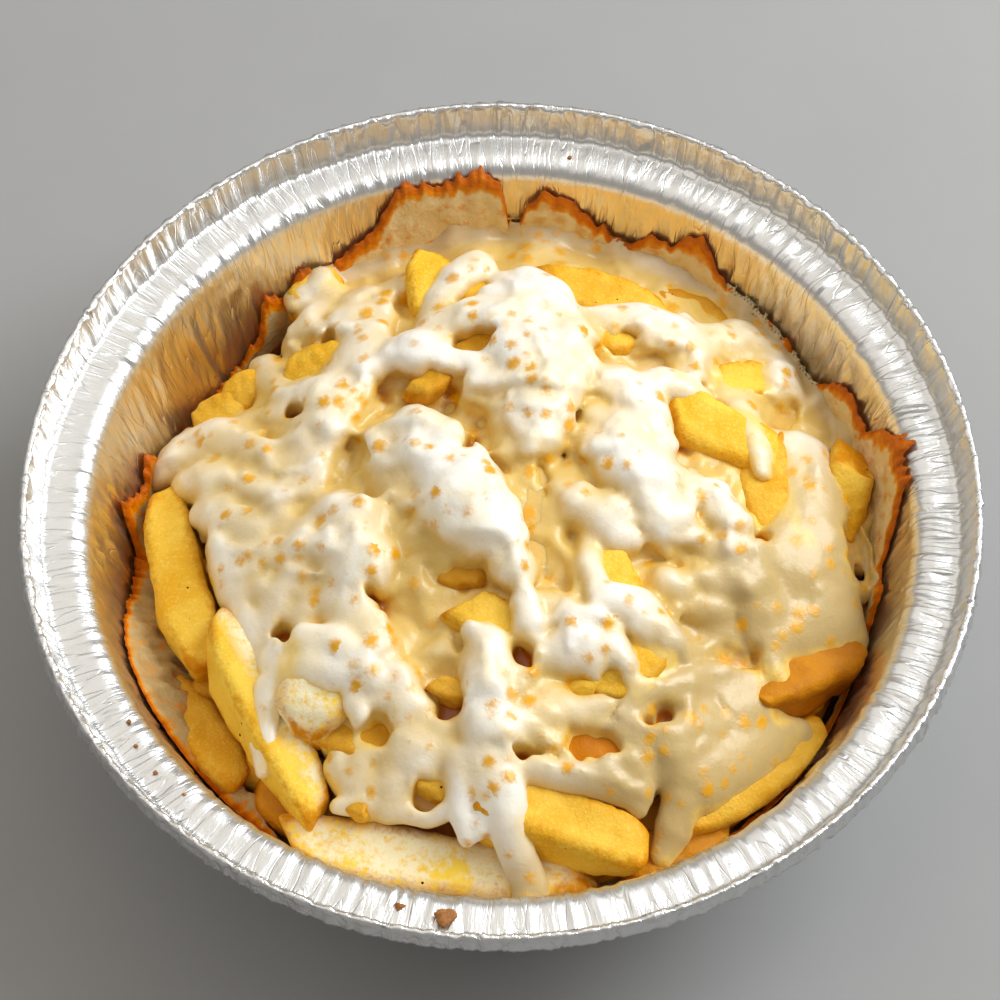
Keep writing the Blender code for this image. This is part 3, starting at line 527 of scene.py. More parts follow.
def around(stations, azimuth, column=1, eased=True):
    """Value at each azimuth of a closed ring of stations: an S-shaped or straight run between two."""
    rows = sorted((row[0] % 360, row[column]) for row in stations)
    places = np.array([row[0] for row in rows], float)
    values = np.array([row[1] for row in rows], float)
    places = np.concatenate(([places[-1] - 360], places, [places[0] + 360]))
    values = np.concatenate(([values[-1]], values, [values[0]]))
    here = np.mod(azimuth, 360)
    low = np.clip(np.searchsorted(places, here, side="right") - 1, 0, len(places) - 2)
    share = (here - places[low]) / (places[low + 1] - places[low])
    if eased:
        share = smooth(share)
    return values[low] + (values[low + 1] - values[low]) * share


def waves(points, length, seed, count=18):
    """Smooth unevenness from -1 to 1: the sum of sines along seeded directions, of about one length."""
    chance = np.random.default_rng(seed)
    total = np.zeros(points[0].shape, np.float32)
    for _ in range(count):
        heading = chance.normal(size=len(points))
        heading *= 2 * math.pi / (length * chance.uniform(0.7, 1.6)) / np.linalg.norm(heading)
        phase = chance.uniform(0, 2 * math.pi)
        total += np.sin(sum(way * axis for way, axis in zip(heading, points)) + phase)
    return total / math.sqrt(count)


def tall_waves(points, kind):
    """Smooth unevenness of the length, seed, height and, where given, number of sines in its kind."""
    length, seed, tall, *count = kind
    return tall * waves(points, length, seed, *count)


def heap_top(x, y):
    """Height of the heap's even surface: a dome, round as 1 less r squared, that ends along the wall."""
    at_wall = around(HEAP_AT_WALL.items(), np.degrees(np.arctan2(y, x)))
    out = np.minimum(np.hypot(x, y) / HEAP_RADIUS, 1.0)
    return at_wall + (HEAP_MIDDLE - at_wall) * (1.0 - out * out)


def wall_radius(height):
    """Radius of the wall's inner face: straight from the base to the mouth."""
    return BASE_RADIUS + (MOUTH_RADIUS - BASE_RADIUS) * height / LEDGE_HEIGHT - SHEET / 2


# Meshes

def grid_faces(rows, columns, closed_rows=False, closed_columns=False, first=0):
    """Quads of a grid whose points run along its columns first; a closed way joins last to first."""
    row = np.arange(rows if closed_rows else rows - 1)
    column = np.arange(columns if closed_columns else columns - 1)
    row, column = np.meshgrid(row, column, indexing="ij")
    next_row = (row + 1) % rows
    next_column = (column + 1) % columns
    quads = np.stack([
        row * columns + column, row * columns + next_column,
        next_row * columns + next_column, next_row * columns + column,
    ], axis=-1)
    return quads.reshape(-1, 4) + first


def fan_faces(centre, ring, flip=False):
    """Triangles from one point to each side of a closed ring of points."""
    after = np.roll(ring, -1)
    middle = np.full(len(ring), centre)
    order = (middle, after, ring) if flip else (middle, ring, after)
    return np.stack(order, axis=-1)


def make_piece(name, points, quads, triangles=(), values=None, uv=None):
    """A smooth mesh object from arrays of points in millimetres, with named values for each point."""
    mesh = bpy.data.meshes.new(name)
    quads = np.asarray(quads, np.int32).reshape(-1, 4)
    triangles = np.asarray(triangles, np.int32).reshape(-1, 3)
    corners = np.concatenate([quads.ravel(), triangles.ravel()])
    starts = np.concatenate([
        np.arange(len(quads)) * 4, len(quads) * 4 + np.arange(len(triangles)) * 3
    ]).astype(np.int32)
    mesh.vertices.add(len(points))
    mesh.vertices.foreach_set("co", (np.asarray(points, np.float64) * MM).astype(np.float32).ravel())
    mesh.loops.add(len(corners))
    mesh.loops.foreach_set("vertex_index", corners)
    mesh.polygons.add(len(starts))
    mesh.polygons.foreach_set("loop_start", starts)
    mesh.update(calc_edges=True)
    for label, numbers in (values or {}).items():
        layer = mesh.attributes.new(label, "FLOAT", "POINT")
        layer.data.foreach_set("value", np.asarray(numbers, np.float32).ravel())
    if uv is not None:
        layer = mesh.uv_layers.new(name="UVMap")
        layer.data.foreach_set("uv", np.asarray(uv, np.float32)[corners].ravel())
    mesh.shade_smooth()
    thing = bpy.data.objects.new(name, mesh)
    bpy.context.scene.collection.objects.link(thing)
    return thing


def make_closed_shapes(name, shapes, rows, columns, values=None):
    """Many closed shapes as one mesh: each is rings of points, with a fan over either end."""
    points, quads, triangles = [], [], []
    count = rows * columns
    for index, spots in enumerate(shapes):
        first = index * (count + 2)
        ring = first + np.arange(columns)
        points += [spots, spots[:columns].mean(axis=0)[None], spots[-columns:].mean(axis=0)[None]]
        quads.append(grid_faces(rows, columns, closed_columns=True, first=first))
        triangles.append(fan_faces(first + count, ring, flip=True))
        triangles.append(fan_faces(first + count + 1, ring + count - columns))
    points, quads, triangles = np.concatenate(points), np.concatenate(quads), np.concatenate(triangles)
    return make_piece(name, points, quads, triangles, values)


# Foil pan

def rounded(corners, steps):
    """An outline through the corners, each one an arc of its own radius that touches both sides."""
    points = [np.array(corners[0][:2], float)]
    for before, corner, after in zip(corners, corners[1:], corners[2:]):
        here = np.array(corner[:2], float)
        back = np.array(before[:2]) - here
        ahead = np.array(after[:2]) - here
        back, ahead = back / np.linalg.norm(back), ahead / np.linalg.norm(ahead)
        half = math.acos(np.clip(back @ ahead, -1, 1)) / 2
        middle = here + (back + ahead) / np.linalg.norm(back + ahead) * corner[2] / math.sin(half)
        arm = here + back * corner[2] / math.tan(half) - middle
        turn = math.copysign(math.pi - 2 * half, ahead[0] * back[1] - ahead[1] * back[0])
        for step in np.linspace(0, turn, steps):
            cos, sin = math.cos(step), math.sin(step)
            points.append(middle + np.array([cos * arm[0] - sin * arm[1], sin * arm[0] + cos * arm[1]]))
    points.append(np.array(corners[-1][:2], float))
    return np.array(points)


def distances_along(outline):
    """Distance of each of an outline's points from its first, along it."""
    return np.concatenate([[0], np.cumsum(np.linalg.norm(np.diff(outline, axis=0), axis=1))])


def turned(radius, azimuth, height):
    """Points at a radius, an azimuth in radians and a height."""
    return np.stack([radius * np.cos(azimuth), radius * np.sin(azimuth), height], axis=-1)


def along(outline, places):
    """Points of an outline at the given distances along it, and the outline's left normals there."""
    travel = distances_along(outline)

    def spots_at(further):
        """Points at the places, moved further along the outline."""
        return np.stack([np.interp(places + further, travel, line) for line in outline.T], axis=1)

    run = spots_at(NORMAL_REACH) - spots_at(-NORMAL_REACH)
    run /= np.linalg.norm(run, axis=1)[:, None]
    return spots_at(0.0), np.stack([-run[:, 1], run[:, 0]], axis=1)


def zigzag(azimuth, levels, kind):
    """Crumpled relief round the pan at each level, from -1 to 1.

    Creases go up and down in turn, each to its own height, with straight facets between them; they
    wander along the levels by sines of their own phase.
    """
    count, seed, drift = kind
    chance = np.random.default_rng(seed)
    gaps = chance.gamma(GAP_EVENNESS, 1.0, count)
    creases = np.cumsum(gaps) / gaps.sum() * 2 * math.pi
    heights = chance.uniform(LOWEST_CREASE, 1.0, count) * np.where(np.arange(count) % 2, 1.0, -1.0)
    phases = chance.uniform(0, 2 * math.pi, (3, count))
    sway = chance.normal(size=(2, count)) * drift * 2 * math.pi / count
    out = np.empty((len(levels), len(azimuth)), np.float32)
    for row, level in enumerate(levels):
        moved = creases + sway[0] * np.sin(level + phases[0]) + sway[1] * np.sin(2.3 * level + phases[1])
        tall = heights * (0.7 + 0.3 * np.sin(1.7 * level + phases[2]))
        out[row] = np.interp(azimuth, moved, tall, period=2 * math.pi)
    return out


def foil_outline():
    """Middle line of the sheet, from the base's centre up to the crest of the rim."""
    return rounded((
        (0.0, SHEET / 2, 0.0),
        (BASE_RADIUS, SHEET / 2, BASE_CORNER),
        (MOUTH_RADIUS, LEDGE_HEIGHT, MOUTH_CORNER),
        (FOLD_RADIUS, LEDGE_HEIGHT, FOLD_CORNER),
        (CREST_RADIUS, CREST_HEIGHT, 0.0),
    ), ARC_STEPS)


def foil_relief(azimuth, places, spots):
    """Height of the creases over the middle line: tall on the wall, pressed flat on the shoulder,
    leaf-shaped on the ledge as a power of a sine, and fine on the rim."""
    radius, height = spots[:, 0], spots[:, 1]
    level = places / CREASE_DRIFT_RUN
    coarse = zigzag(azimuth, level, COARSE_CREASES)
    fine = zigzag(azimuth, level, FINE_CREASES)
    pressed = zigzag(azimuth, level * 1.5, PRESSED_CREASES)
    rim = zigzag(azimuth, level, RIM_CREASES)
    ledge_share = (radius - MOUTH_RADIUS + LEDGE_START) / (FOLD_RADIUS - MOUTH_RADIUS + LEDGE_START)
    leaf = np.sin(math.pi * np.clip(ledge_share, 0, 1)) ** LEAF_POWER
    strength = around(LEDGE_FOLDS.items(), np.degrees(azimuth))
    on_wall = smooth((height - FROM_BASE[0]) / FROM_BASE[1])
    on_wall = on_wall * smooth((MOUTH_RADIUS - BELOW_MOUTH[0] - radius) / BELOW_MOUTH[1])
    on_shoulder = smooth((height - LEDGE_HEIGHT + BELOW_LEDGE[0]) / BELOW_LEDGE[1])
    on_shoulder = on_shoulder * smooth((MOUTH_RADIUS + PAST_MOUTH[0] - radius) / PAST_MOUTH[1])
    on_ledge = leaf * (height < LEDGE_HEIGHT + FOLD_CORNER)
    on_rim = smooth((radius - FOLD_RADIUS + BEFORE_FOLD[0]) / BEFORE_FOLD[1])
    return (
        on_wall[:, None] * (WALL_RELIEF[0] * coarse + WALL_RELIEF[1] * fine)
        + on_shoulder[:, None] * SHOULDER_RELIEF * pressed
        + on_ledge[:, None] * strength * LEDGE_RELIEF * np.maximum(pressed, LEDGE_DENT)
        + on_rim[:, None] * (RIM_RELIEF[0] * rim + RIM_RELIEF[1] * coarse)
    )


def hem_rings(azimuth, crest, normal):
    """Rings of the hem: over the crest, down outside and under, as points round the pan.

    Each ring lies a set way out from and up the rim at its crest, moved out by its creases: first
    the crown, an arc over the crest, then the outer face, and last the back up against the rim.
    """
    up = np.array([normal[1], -normal[0]])
    out = -normal
    base = crest + out * (HEM_THICKNESS - SHEET) / 2
    turn = np.radians(np.linspace(20, 160, 5))
    crown = [(-math.cos(t) * HEM_THICKNESS / 2, math.sin(t) * HEM_THICKNESS / 2) for t in turn]
    edge = HEM_THICKNESS / 2
    drop = [(edge + HEM_FLARE * share, -HEM_DROP * share) for share in np.linspace(0.06, 1.0, 7)]
    back = [
        (edge + HEM_FLARE - 0.5, -HEM_DROP - 0.15),
        (edge + HEM_FLARE / 2 - 0.6, -HEM_DROP / 2),
        (-0.1, -0.5),
    ]
    stations = crown + drop + back
    level = np.linspace(0, 2.4, len(stations)) + 3.0
    beads = BEAD_RELIEF[0] * zigzag(azimuth, level, HEM_BEADS)
    beads = beads + BEAD_RELIEF[1] * zigzag(azimuth, level, SMALL_BEADS)
    rings = []
    for row, (aside, rise) in enumerate(stations):
        hidden = row > len(crown + drop)
        size = beads[row] * (0.3 if hidden else 1.0)
        moved = aside + np.sign(aside) * size
        lifted = rise + 0.6 * size * (rise > 0)
        radius = base[0] + out[0] * moved + up[0] * lifted
        height = base[1] + out[1] * moved + up[1] * lifted
        rings.append(turned(radius, azimuth, height))
    return np.array(rings)


def make_foil_pan():
    """The pan as one closed sheet, round the centre: its inner side from the middle up to the crest,
    the hem folded down outside, and the outer side from under the hem back to the middle."""
    outline = foil_outline()
    length = distances_along(outline)[-1]
    inner = np.concatenate([
        INNER_BASE_RINGS,
        np.linspace(*INNER_WALL_RINGS),
        np.linspace(INNER_TOP_RINGS[0], length, INNER_TOP_RINGS[1]),
    ])
    outer = np.concatenate([
        np.linspace(length - OUTER_GAP, *OUTER_TOP_RINGS),
        OUTER_BASE_RINGS,
    ])
    azimuth = np.linspace(0, 2 * math.pi, FOIL_COLUMNS, endpoint=False)
    places = np.concatenate([inner, outer])
    spots, normals = along(outline, places)
    relief = foil_relief(azimuth, places, spots)
    side = np.where(np.arange(len(places)) < len(inner), SHEET / 2, -SHEET / 2)[:, None]
    radius = spots[:, :1] + normals[:, :1] * (relief + side)
    height = spots[:, 1:] + normals[:, 1:] * (relief + side)
    sheet = turned(radius, azimuth, height)
    hem = hem_rings(azimuth, spots[len(inner) - 1], normals[len(inner) - 1])
    points = np.concatenate([sheet[:len(inner)], hem, sheet[len(inner):]]).reshape(-1, 3)
    travel = np.concatenate([inner, length + np.arange(1, len(hem) + 1), outer])
    down, round_pan = np.meshgrid(travel, azimuth * MOUTH_RADIUS, indexing="ij")
    uv = np.stack([round_pan, down], axis=-1).reshape(-1, 2)
    rows = len(travel)
    # Gold on the wall below the ledge: fat stain and painted reflection of the food
    stain_and_reflection = np.zeros((rows, FOIL_COLUMNS))
    low = smooth((LEDGE_HEIGHT - 1.0 - spots[:len(inner), 1]) / 2.5)
    stain_and_reflection[:len(inner)] = low[:, None] * around(WALL_STAIN_AND_REFLECTION.items(), np.degrees(azimuth))
    middle = len(points)
    points = np.concatenate([points, [[0, 0, SHEET], [0, 0, 0]]])
    uv = np.concatenate([uv, [[0, 0], [0, 0]]])
    stain_and_reflection = np.concatenate([stain_and_reflection.ravel(), [0, 0]])
    first = np.arange(FOIL_COLUMNS)
    last = first + (rows - 1) * FOIL_COLUMNS
    triangles = np.concatenate([fan_faces(middle, first), fan_faces(middle + 1, last, flip=True)])
    quads = grid_faces(rows, FOIL_COLUMNS, closed_columns=True)[:, ::-1]
    return make_piece("foil_sheet", points, quads, triangles, {"stain_and_reflection": stain_and_reflection}, uv / 10)


# Fries

def fry_frame(start, end, roll):
    """Middle point, length and the three directions of a fry: forward, sideways and up."""
    first, last = (np.array([x, y, heap_top(x, y) + rise], float) for x, y, rise in (start, end))
    forward = last - first
    length = np.linalg.norm(forward)
    forward /= length
    sideways = np.cross([0, 0, 1], forward)
    sideways /= np.linalg.norm(sideways)
    upward = np.cross(forward, sideways)
    cos, sin = math.cos(math.radians(roll)), math.sin(math.radians(roll))
    across = cos * sideways + sin * upward
    return (first + last) / 2, length, np.stack([forward, across, np.cross(forward, across)])


def hidden_fries():
    """Fries inside the heap: seeded places all over it, rises below the cheese and any heading."""
    chance = np.random.default_rng(HIDDEN_SEED)
    laid = {}
    for index in range(HIDDEN_FRIES):
        radius = HIDDEN_SPREAD * math.sqrt((index + 0.5) / HIDDEN_FRIES)
        azimuth = index * GOLDEN_TURN + chance.uniform(*HIDDEN_SWAY)
        heading = chance.uniform(0, math.pi)
        half = chance.uniform(*HIDDEN_LENGTH) / 2
        x, y = radius * math.cos(azimuth), radius * math.sin(azimuth)
        ends = []
        for side in (-1, 1):
            place = np.array([x + side * half * math.cos(heading), y + side * half * math.sin(heading)])
            place *= min(1.0, HIDDEN_LIMIT / np.linalg.norm(place))
            ends.append((*place, chance.uniform(*HIDDEN_RISE)))
        width = chance.uniform(*HIDDEN_WIDTH)
        depth = width - chance.uniform(*HIDDEN_FLATTER)
        rest = [chance.uniform(*limits) for limits in (HIDDEN_BOW, HIDDEN_ROLL, HIDDEN_TONE)]
        laid[f"hidden_{index}"] = (*ends, width, depth, *rest, -1.0)
    return laid


def fry_surface(fry, seed, ends, rows=44, columns=32):
    """One fry: a rounded bar, a superellipse of seeded power carried along a bowed path.

    The section shrinks to the ends as a superellipse of seeded power of the run, the flat sides sag
    inwards, the run is sampled as a sine, closest at the ends, and seeded waves make the skin uneven.
    """
    start, end, width, depth, bow, roll, tone, _ = fry
    middle, length, axes = fry_frame(start, end, roll)
    chance = np.random.default_rng(seed)
    run = np.sin(np.linspace(-0.5, 0.5, rows) * math.pi * 0.994)
    run = np.sign(run) * (1 - (1 - np.abs(run)) ** 1.25)
    angle = np.linspace(0, 2 * math.pi, columns, endpoint=False) + math.pi / columns
    run, angle = np.meshgrid(run, angle, indexing="ij")
    power = chance.uniform(*FRY_POWER)
    blunt = chance.uniform(*FRY_END_POWER)
    cos, sin = np.cos(angle), np.sin(angle)
    reach = (np.abs(cos) ** power + np.abs(sin) ** power) ** (-1 / power)
    corner = smooth((reach - 1.0) / 0.32)
    reach = reach * (1.0 - FRY_SAG * (1 - corner))
    close = (1 - np.abs(run) ** blunt) ** (1 / blunt)
    taper = 1.0 - chance.uniform(*FRY_TAPER) * run ** 2 + chance.uniform(*FRY_GROWTH) * run
    twist = chance.uniform(*FRY_TWIST) * run
    pointed = chance.uniform(*FRY_NARROWING, 2)
    if ends:
        pointed = ends
    narrow = np.where(run < 0, pointed[0], pointed[1]) * smooth((np.abs(run) - 0.4) / 0.6)
    flat_aside = reach * cos * width / 2 * close * taper * (1 - narrow)
    flat_rise = reach * sin * depth / 2 * close * taper * (1 - 0.4 * narrow)
    aside = flat_aside * np.cos(twist) - flat_rise * np.sin(twist)
    rise = flat_aside * np.sin(twist) + flat_rise * np.cos(twist)
    slant = chance.uniform(*FRY_SLANT, 2)
    forward = run * length / 2 + (slant[0] * aside + slant[1] * rise) * np.abs(run) ** 3
    skin = (forward + seed * 37.0, aside, rise)
    soft = tall_waves(skin, FRY_SOFT)
    rough = tall_waves(skin, FRY_ROUGH)
    size = np.hypot(aside, rise) + 1e-6
    swell = 1 + (soft + rough) / np.maximum(size, 2.5)
    aside, rise = aside * swell, rise * swell
    aside = aside - bow * (1 - run ** 2)
    points = middle + sum(part[..., None] * axis for part, axis in zip((forward, aside, rise), axes))
    points = keep_in_pan(points, FRY_ROOM)
    on_edge, on_end, on_wave = CRISP_SHARES
    crisp = np.clip(on_edge * corner + on_end * np.abs(run) ** 8 + on_wave * soft, 0, 1)
    tones = tone + TONE_SWAY * np.sin(angle + chance.uniform(0, 2 * math.pi)) * (tone > STARCHY)
    return points.reshape(-1, 3), crisp.ravel(), tones.ravel()


def keep_in_pan(points, room):
    """Draws points in towards the Z axis where they come nearer to the wall than the room given."""
    radius = np.hypot(points[..., 0], points[..., 1])
    most = wall_radius(points[..., 2]) - room
    scale = np.where(radius > most, most / np.maximum(radius, 1e-6), 1.0)
    kept = points.copy()
    kept[..., :2] *= scale[..., None]
    return kept


def make_fries(name, fries, rows, columns):
    """All fries of one kind as one mesh, with how crisp and how brown each point is."""
    shapes, crisps, tones = [], [], []
    for index, (label, fry) in enumerate(fries.items()):
        spots, crisp, tone = fry_surface(fry, index + 1, POINTED.get(label), rows, columns)
        shapes.append(spots)
        crisps += [crisp, crisp[[0, -1]]]
        tones += [tone, tone[:2]]
    values = {"crisp": np.concatenate(crisps), "tone": np.concatenate(tones)}
    return make_closed_shapes(name, shapes, rows, columns, values)


def make_core():
    """Inside of the heap, a sheet of painted shade: the heap's dome, lowered and uneven, closed by a flat
    floor.
    """
    rows, columns = 40, 120
    share = np.linspace(0.02, 1.0, rows)
    azimuth = np.linspace(0, 2 * math.pi, columns, endpoint=False)
    share, azimuth = np.meshgrid(share, azimuth, indexing="ij")
    radius = share * CORE_RADIUS
    x, y = radius * np.cos(azimuth), radius * np.sin(azimuth)
    z = heap_top(x, y) - CORE_DEPTH + tall_waves((x, y), CORE_WAVES)
    points = np.stack([x, y, z], axis=-1).reshape(-1, 3)
    floor = points[-columns:].copy()
    floor[:, 2] = CORE_FLOOR
    floor[:, :2] *= CORE_FOOT
    points = np.concatenate([points, floor, [[0, 0, z[0].mean()], [0, 0, CORE_FLOOR]]])
    quads = grid_faces(rows + 1, columns, closed_columns=True)
    ring = np.arange(columns)
    top = (rows + 1) * columns
    under = fan_faces(top + 1, ring + rows * columns, flip=True)
    triangles = np.concatenate([fan_faces(top, ring), under])
    return make_piece("heap_inside", points, quads, triangles)


# Melted cheese

def rounded_bar_distance(fry, x, y, z):
    """Distance from a fry's skin: that of a rounded box in the fry's own bowed directions."""
    start, end, width, depth, bow, roll, _, _ = fry
    middle, length, axes = fry_frame(start, end, roll)
    x, y, z = x - middle[0], y - middle[1], z - middle[2]
    local = [x * axis[0] + y * axis[1] + z * axis[2] for axis in axes]
    run = np.clip(2 * local[0] / length, -1, 1)
    local[1] = local[1] + bow * (1 - run ** 2)
    past = [np.abs(part) - (size / 2 - FRY_EDGE) for part, size in zip(local, (length, width, depth))]
    outside = np.sqrt(sum(np.maximum(part, 0) ** 2 for part in past))
    inside = np.minimum(np.maximum(np.maximum(past[0], past[1]), past[2]), 0)
    return outside + inside - FRY_EDGE


def window(grid, low, high):
    """Slices of the sampling grid that hold a box given by its low and high x and y."""
    return tuple(
        slice(max(np.searchsorted(axis, least) - 1, 0), np.searchsorted(axis, most) + 1)
        for axis, least, most in zip(grid, low, high)
    )


def beside_run(start, run, x, y):
    """Share along a straight run at which each place lies, and its distance from the run there."""
    share = np.clip(((x - start[0]) * run[0] + (y - start[1]) * run[1]) / (run @ run), 0, 1)
    return share, np.hypot(x - start[0] - share * run[0], y - start[1] - share * run[1])


def rope_distance(path, x, y, w):
    """Distance from a rope's skin: the least over its runs.

    A run's section is an ellipse that changes evenly along it, and the distance from it is the
    ellipse's own measure less 1, over that measure's slope.
    """
    nearest = np.full(np.broadcast(x, y, w).shape, 50.0, np.float32)
    for first, last in zip(path, path[1:]):
        share, flat = beside_run(first, last[:2] - first[:2], x, y)
        wide = first[3] + (last[3] - first[3]) * share
        tall = np.minimum(wide, ROPE_TALL)
        rise = w - (first[2] + (last[2] - first[2]) * share - tall)
        size = np.hypot(flat / wide, rise / tall)
        slope = np.hypot(flat / wide ** 2, rise / tall ** 2)
        nearest = np.minimum(nearest, size * (size - 1) / np.maximum(slope, 1e-3))
    return nearest


def joined(distance):
    """A piece's share in the sum that joins all pieces softly: the exponential of how deep a place is."""
    return np.exp(-np.maximum(distance, DEEPEST_JOIN) / JOIN_SOFTNESS)


def add_ropes(total, grid, ropes, wider):
    """Adds each rope to the sum, within a box that holds it."""
    xs, ys, ws = grid
    for rope in ropes:
        path = np.array(rope, np.float32)
        path[:, 3] *= wider
        room = path[:, 3].max() + 5
        box = window((xs, ys), path[:, :2].min(axis=0) - room, path[:, :2].max(axis=0) + room)
        x, y = xs[box[0]][:, None, None], ys[box[1]][None, :, None]
        total[box] += joined(rope_distance(path, x, y, ws[None, None, :]))


def clear_of_bare_fries(x, y):
    """How clear each place is of the bare fries, seen from above: 0 over one and 1 well beside it."""
    clear = np.ones(x.shape, np.float32)
    for start, end, width, _, bow, _, _, cheese in FRIES.values():
        if cheese > BARE:
            continue
        first, last = np.array(start[:2]), np.array(end[:2])
        run = (last - first) / np.linalg.norm(last - first)
        middle = (first + last) / 2 - bow * np.array([-run[1], run[0]])
        for one, two in ((first, middle), (middle, last)):
            beside = beside_run(one, two - one, x, y)[1] - width / 2
            clear = np.minimum(clear, smooth((beside + 0.5) / CLEAR_SPAN))
    return clear


def seeded_shreds(kind, xs, ground, clear):
    """Short bent ropes headed roughly down the heap, their crests a little over the ground given."""
    number, seed, halves, radii, crests = kind
    chance = np.random.default_rng(seed)
    shreds = []
    for index in range(number):
        radius = SHRED_SPREAD * math.sqrt((index + 0.5) / number)
        azimuth = index * GOLDEN_TURN + chance.uniform(*SHRED_SWAY)
        heading = azimuth + chance.normal(0, SHRED_TURN)
        bend = chance.normal(0, SHRED_BEND)
        half, wide, rise = (chance.uniform(*limits) for limits in (halves, radii, crests))
        middle = np.array([math.cos(azimuth), math.sin(azimuth)]) * radius
        side = np.linspace(-1, 1, 5)
        turn = heading + bend * side
        x = middle[0] + side * half * np.cos(turn)
        y = middle[1] + side * half * np.sin(turn)
        column, row = np.searchsorted(xs, x), np.searchsorted(xs, y)
        if clear[column, row].min() > 0.5:
            radii_here = wide * (1 - SHRED_TAPER * side ** 2)
            shreds.append(np.stack([x, y, ground[column, row] + rise, radii_here], axis=1))
    return shreds


def opening_distance(opening, x, y, w):
    """Distance from an opening's side: an upright ellipsoid turned about the vertical."""
    centre_x, centre_y, height, half_x, half_y, tall, turn = opening
    cos, sin = math.cos(math.radians(turn)), math.sin(math.radians(turn))
    across = ((x - centre_x) * cos + (y - centre_y) * sin) / half_x
    along_y = ((y - centre_y) * cos - (x - centre_x) * sin) / half_y
    return (np.sqrt(across ** 2 + along_y ** 2 + ((w - height) / tall) ** 2) - 1) * min(half_x, half_y)


def cheese_cover(x, y, mound, reach):
    """Height over the heap of the cheese that lies under the ropes.

    It is even but for seeded waves, rises along the wall as the square of how near the wall is, and
    falls in an S at its reach.
    """
    radius = np.hypot(x, y)
    cover = COVER
    for kind in COVER_WAVES:
        cover = cover + tall_waves((x, y), kind)
    near_wall = np.clip((radius - wall_radius(mound) + WALL_FILLET[0]) / WALL_FILLET[0], 0, 1.2)
    before, width, depth = COVER_END
    return cover + WALL_FILLET[1] * near_wall ** 2 - depth * smooth((radius - reach + before) / width)


def add_covered_fries(total, axis, x, y, z, covered):
    """Adds the covered fries' skins, moved out by their cheese, to the sum where cheese reaches.

    Gives the distance from the nearest fry's skin, of bare and covered ones alike.
    """
    bars = np.full(total.shape, 20.0, np.float32)
    for fry in [*FRIES.values(), *hidden_fries().values()]:
        start, end, width, _, bow, _, _, cheese = fry
        ends = np.array([start[:2], end[:2]], float)
        room = width / 2 + abs(bow) + 7
        box = window((axis, axis), ends.min(axis=0) - room, ends.max(axis=0) + room)
        distance = rounded_bar_distance(fry, x[box][..., None], y[box][..., None], z[box])
        bars[box] = np.minimum(bars[box], distance)
        if cheese > BARE:
            total[box] += covered[box][..., None] * joined(distance - cheese)
    return bars


def cheese_ruffle(spots):
    """How far the cheese swells: puffs, as the size of seeded waves less its mean, and ripples."""
    ruffle = 0
    for length, seed, tall, count in PUFFS:
        ruffle = ruffle + tall * (np.abs(waves(spots, length, seed, count)) - 0.5)
    for kind in RIPPLES:
        ruffle = ruffle + tall_waves(spots, kind)
    return ruffle


def cut_openings(field, axis, spots):
    """Takes the openings out of the cheese: a soft greatest of the field and less their distance."""
    for opening in OPENINGS:
        centre, room = np.array(opening[:2]), max(opening[3:5]) + 4
        box = window((axis, axis), centre - room, centre + room)
        x, y, w = (part[box] for part in spots)
        hole = opening_distance(opening, x, y, w) + tall_waves((x, y), OPENING_WAVES)
        hole = np.maximum(hole, OPENING_FLOOR - w)
        depths = field[box] / OPENING_SOFTNESS, -hole / OPENING_SOFTNESS
        field[box] = OPENING_SOFTNESS * np.logaddexp(*depths)


def cheese_field():
    """Field that is negative in the cheese, on a grid of x, y and height over the heap.

    It is the soft union, by a sum of exponentials, of the ropes, a wavy cover that fills the valleys
    between them, shreds on it and the covered fries' skins moved out by their cheese, swollen by
    puffs, less the openings, and kept over the cover's underside and in the pan.
    """
    xs = np.arange(-FIELD_EXTENT, FIELD_EXTENT + FIELD_STEP, FIELD_STEP, dtype=np.float32)
    ws = np.arange(FIELD_LOW, FIELD_HIGH + FIELD_STEP, FIELD_STEP, dtype=np.float32)
    grid = (xs, xs, ws)
    x, y = np.meshgrid(xs, xs, indexing="ij")
    w = ws[None, None, :]
    mound = heap_top(x, y).astype(np.float32)
    radius = np.hypot(x, y)
    reach = around(CHEESE_REACH.items(), np.degrees(np.arctan2(y, x))) + tall_waves((x, y), EDGE_WAVES)
    total = np.zeros((len(xs), len(xs), len(ws)), np.float32)
    add_ropes(total, grid, ROPES, ROPE_WIDER)
    crests = FIELD_LOW + FIELD_STEP * (total > 1.0).sum(axis=2)
    clear = clear_of_bare_fries(x, y)
    cover = cheese_cover(x, y, mound, reach)
    cover = cover + clear * np.maximum(box_blur(crests, FILL_SPAN) - FILL_DEPTH - cover, 0)
    total += joined(w - cover[..., None])
    add_ropes(total, grid, seeded_shreds(BROAD_SHREDS, xs, cover, clear), 1.0)
    tops = box_blur(FIELD_LOW + FIELD_STEP * (total > 1.0).sum(axis=2), 2.0)
    add_ropes(total, grid, seeded_shreds(THIN_SHREDS, xs, tops, clear), 1.0)
    z = mound[..., None] + w
    bars = add_covered_fries(total, xs, x, y, z, radius < reach + 1.5)
    field = -JOIN_SOFTNESS * np.log(np.maximum(total, 1e-30))
    spots = np.broadcast_arrays(x[..., None], y[..., None], w)
    field = field - cheese_ruffle(spots) * (BARE_RUFFLE + (1 - BARE_RUFFLE) * clear[..., None])
    cut_openings(field, xs, spots)
    field = np.maximum(field, COVER_BOTTOM - w)
    field = np.maximum(field, radius[..., None] - (wall_radius(z) - WALL_ROOM))
    return grid, field.astype(np.float32), bars


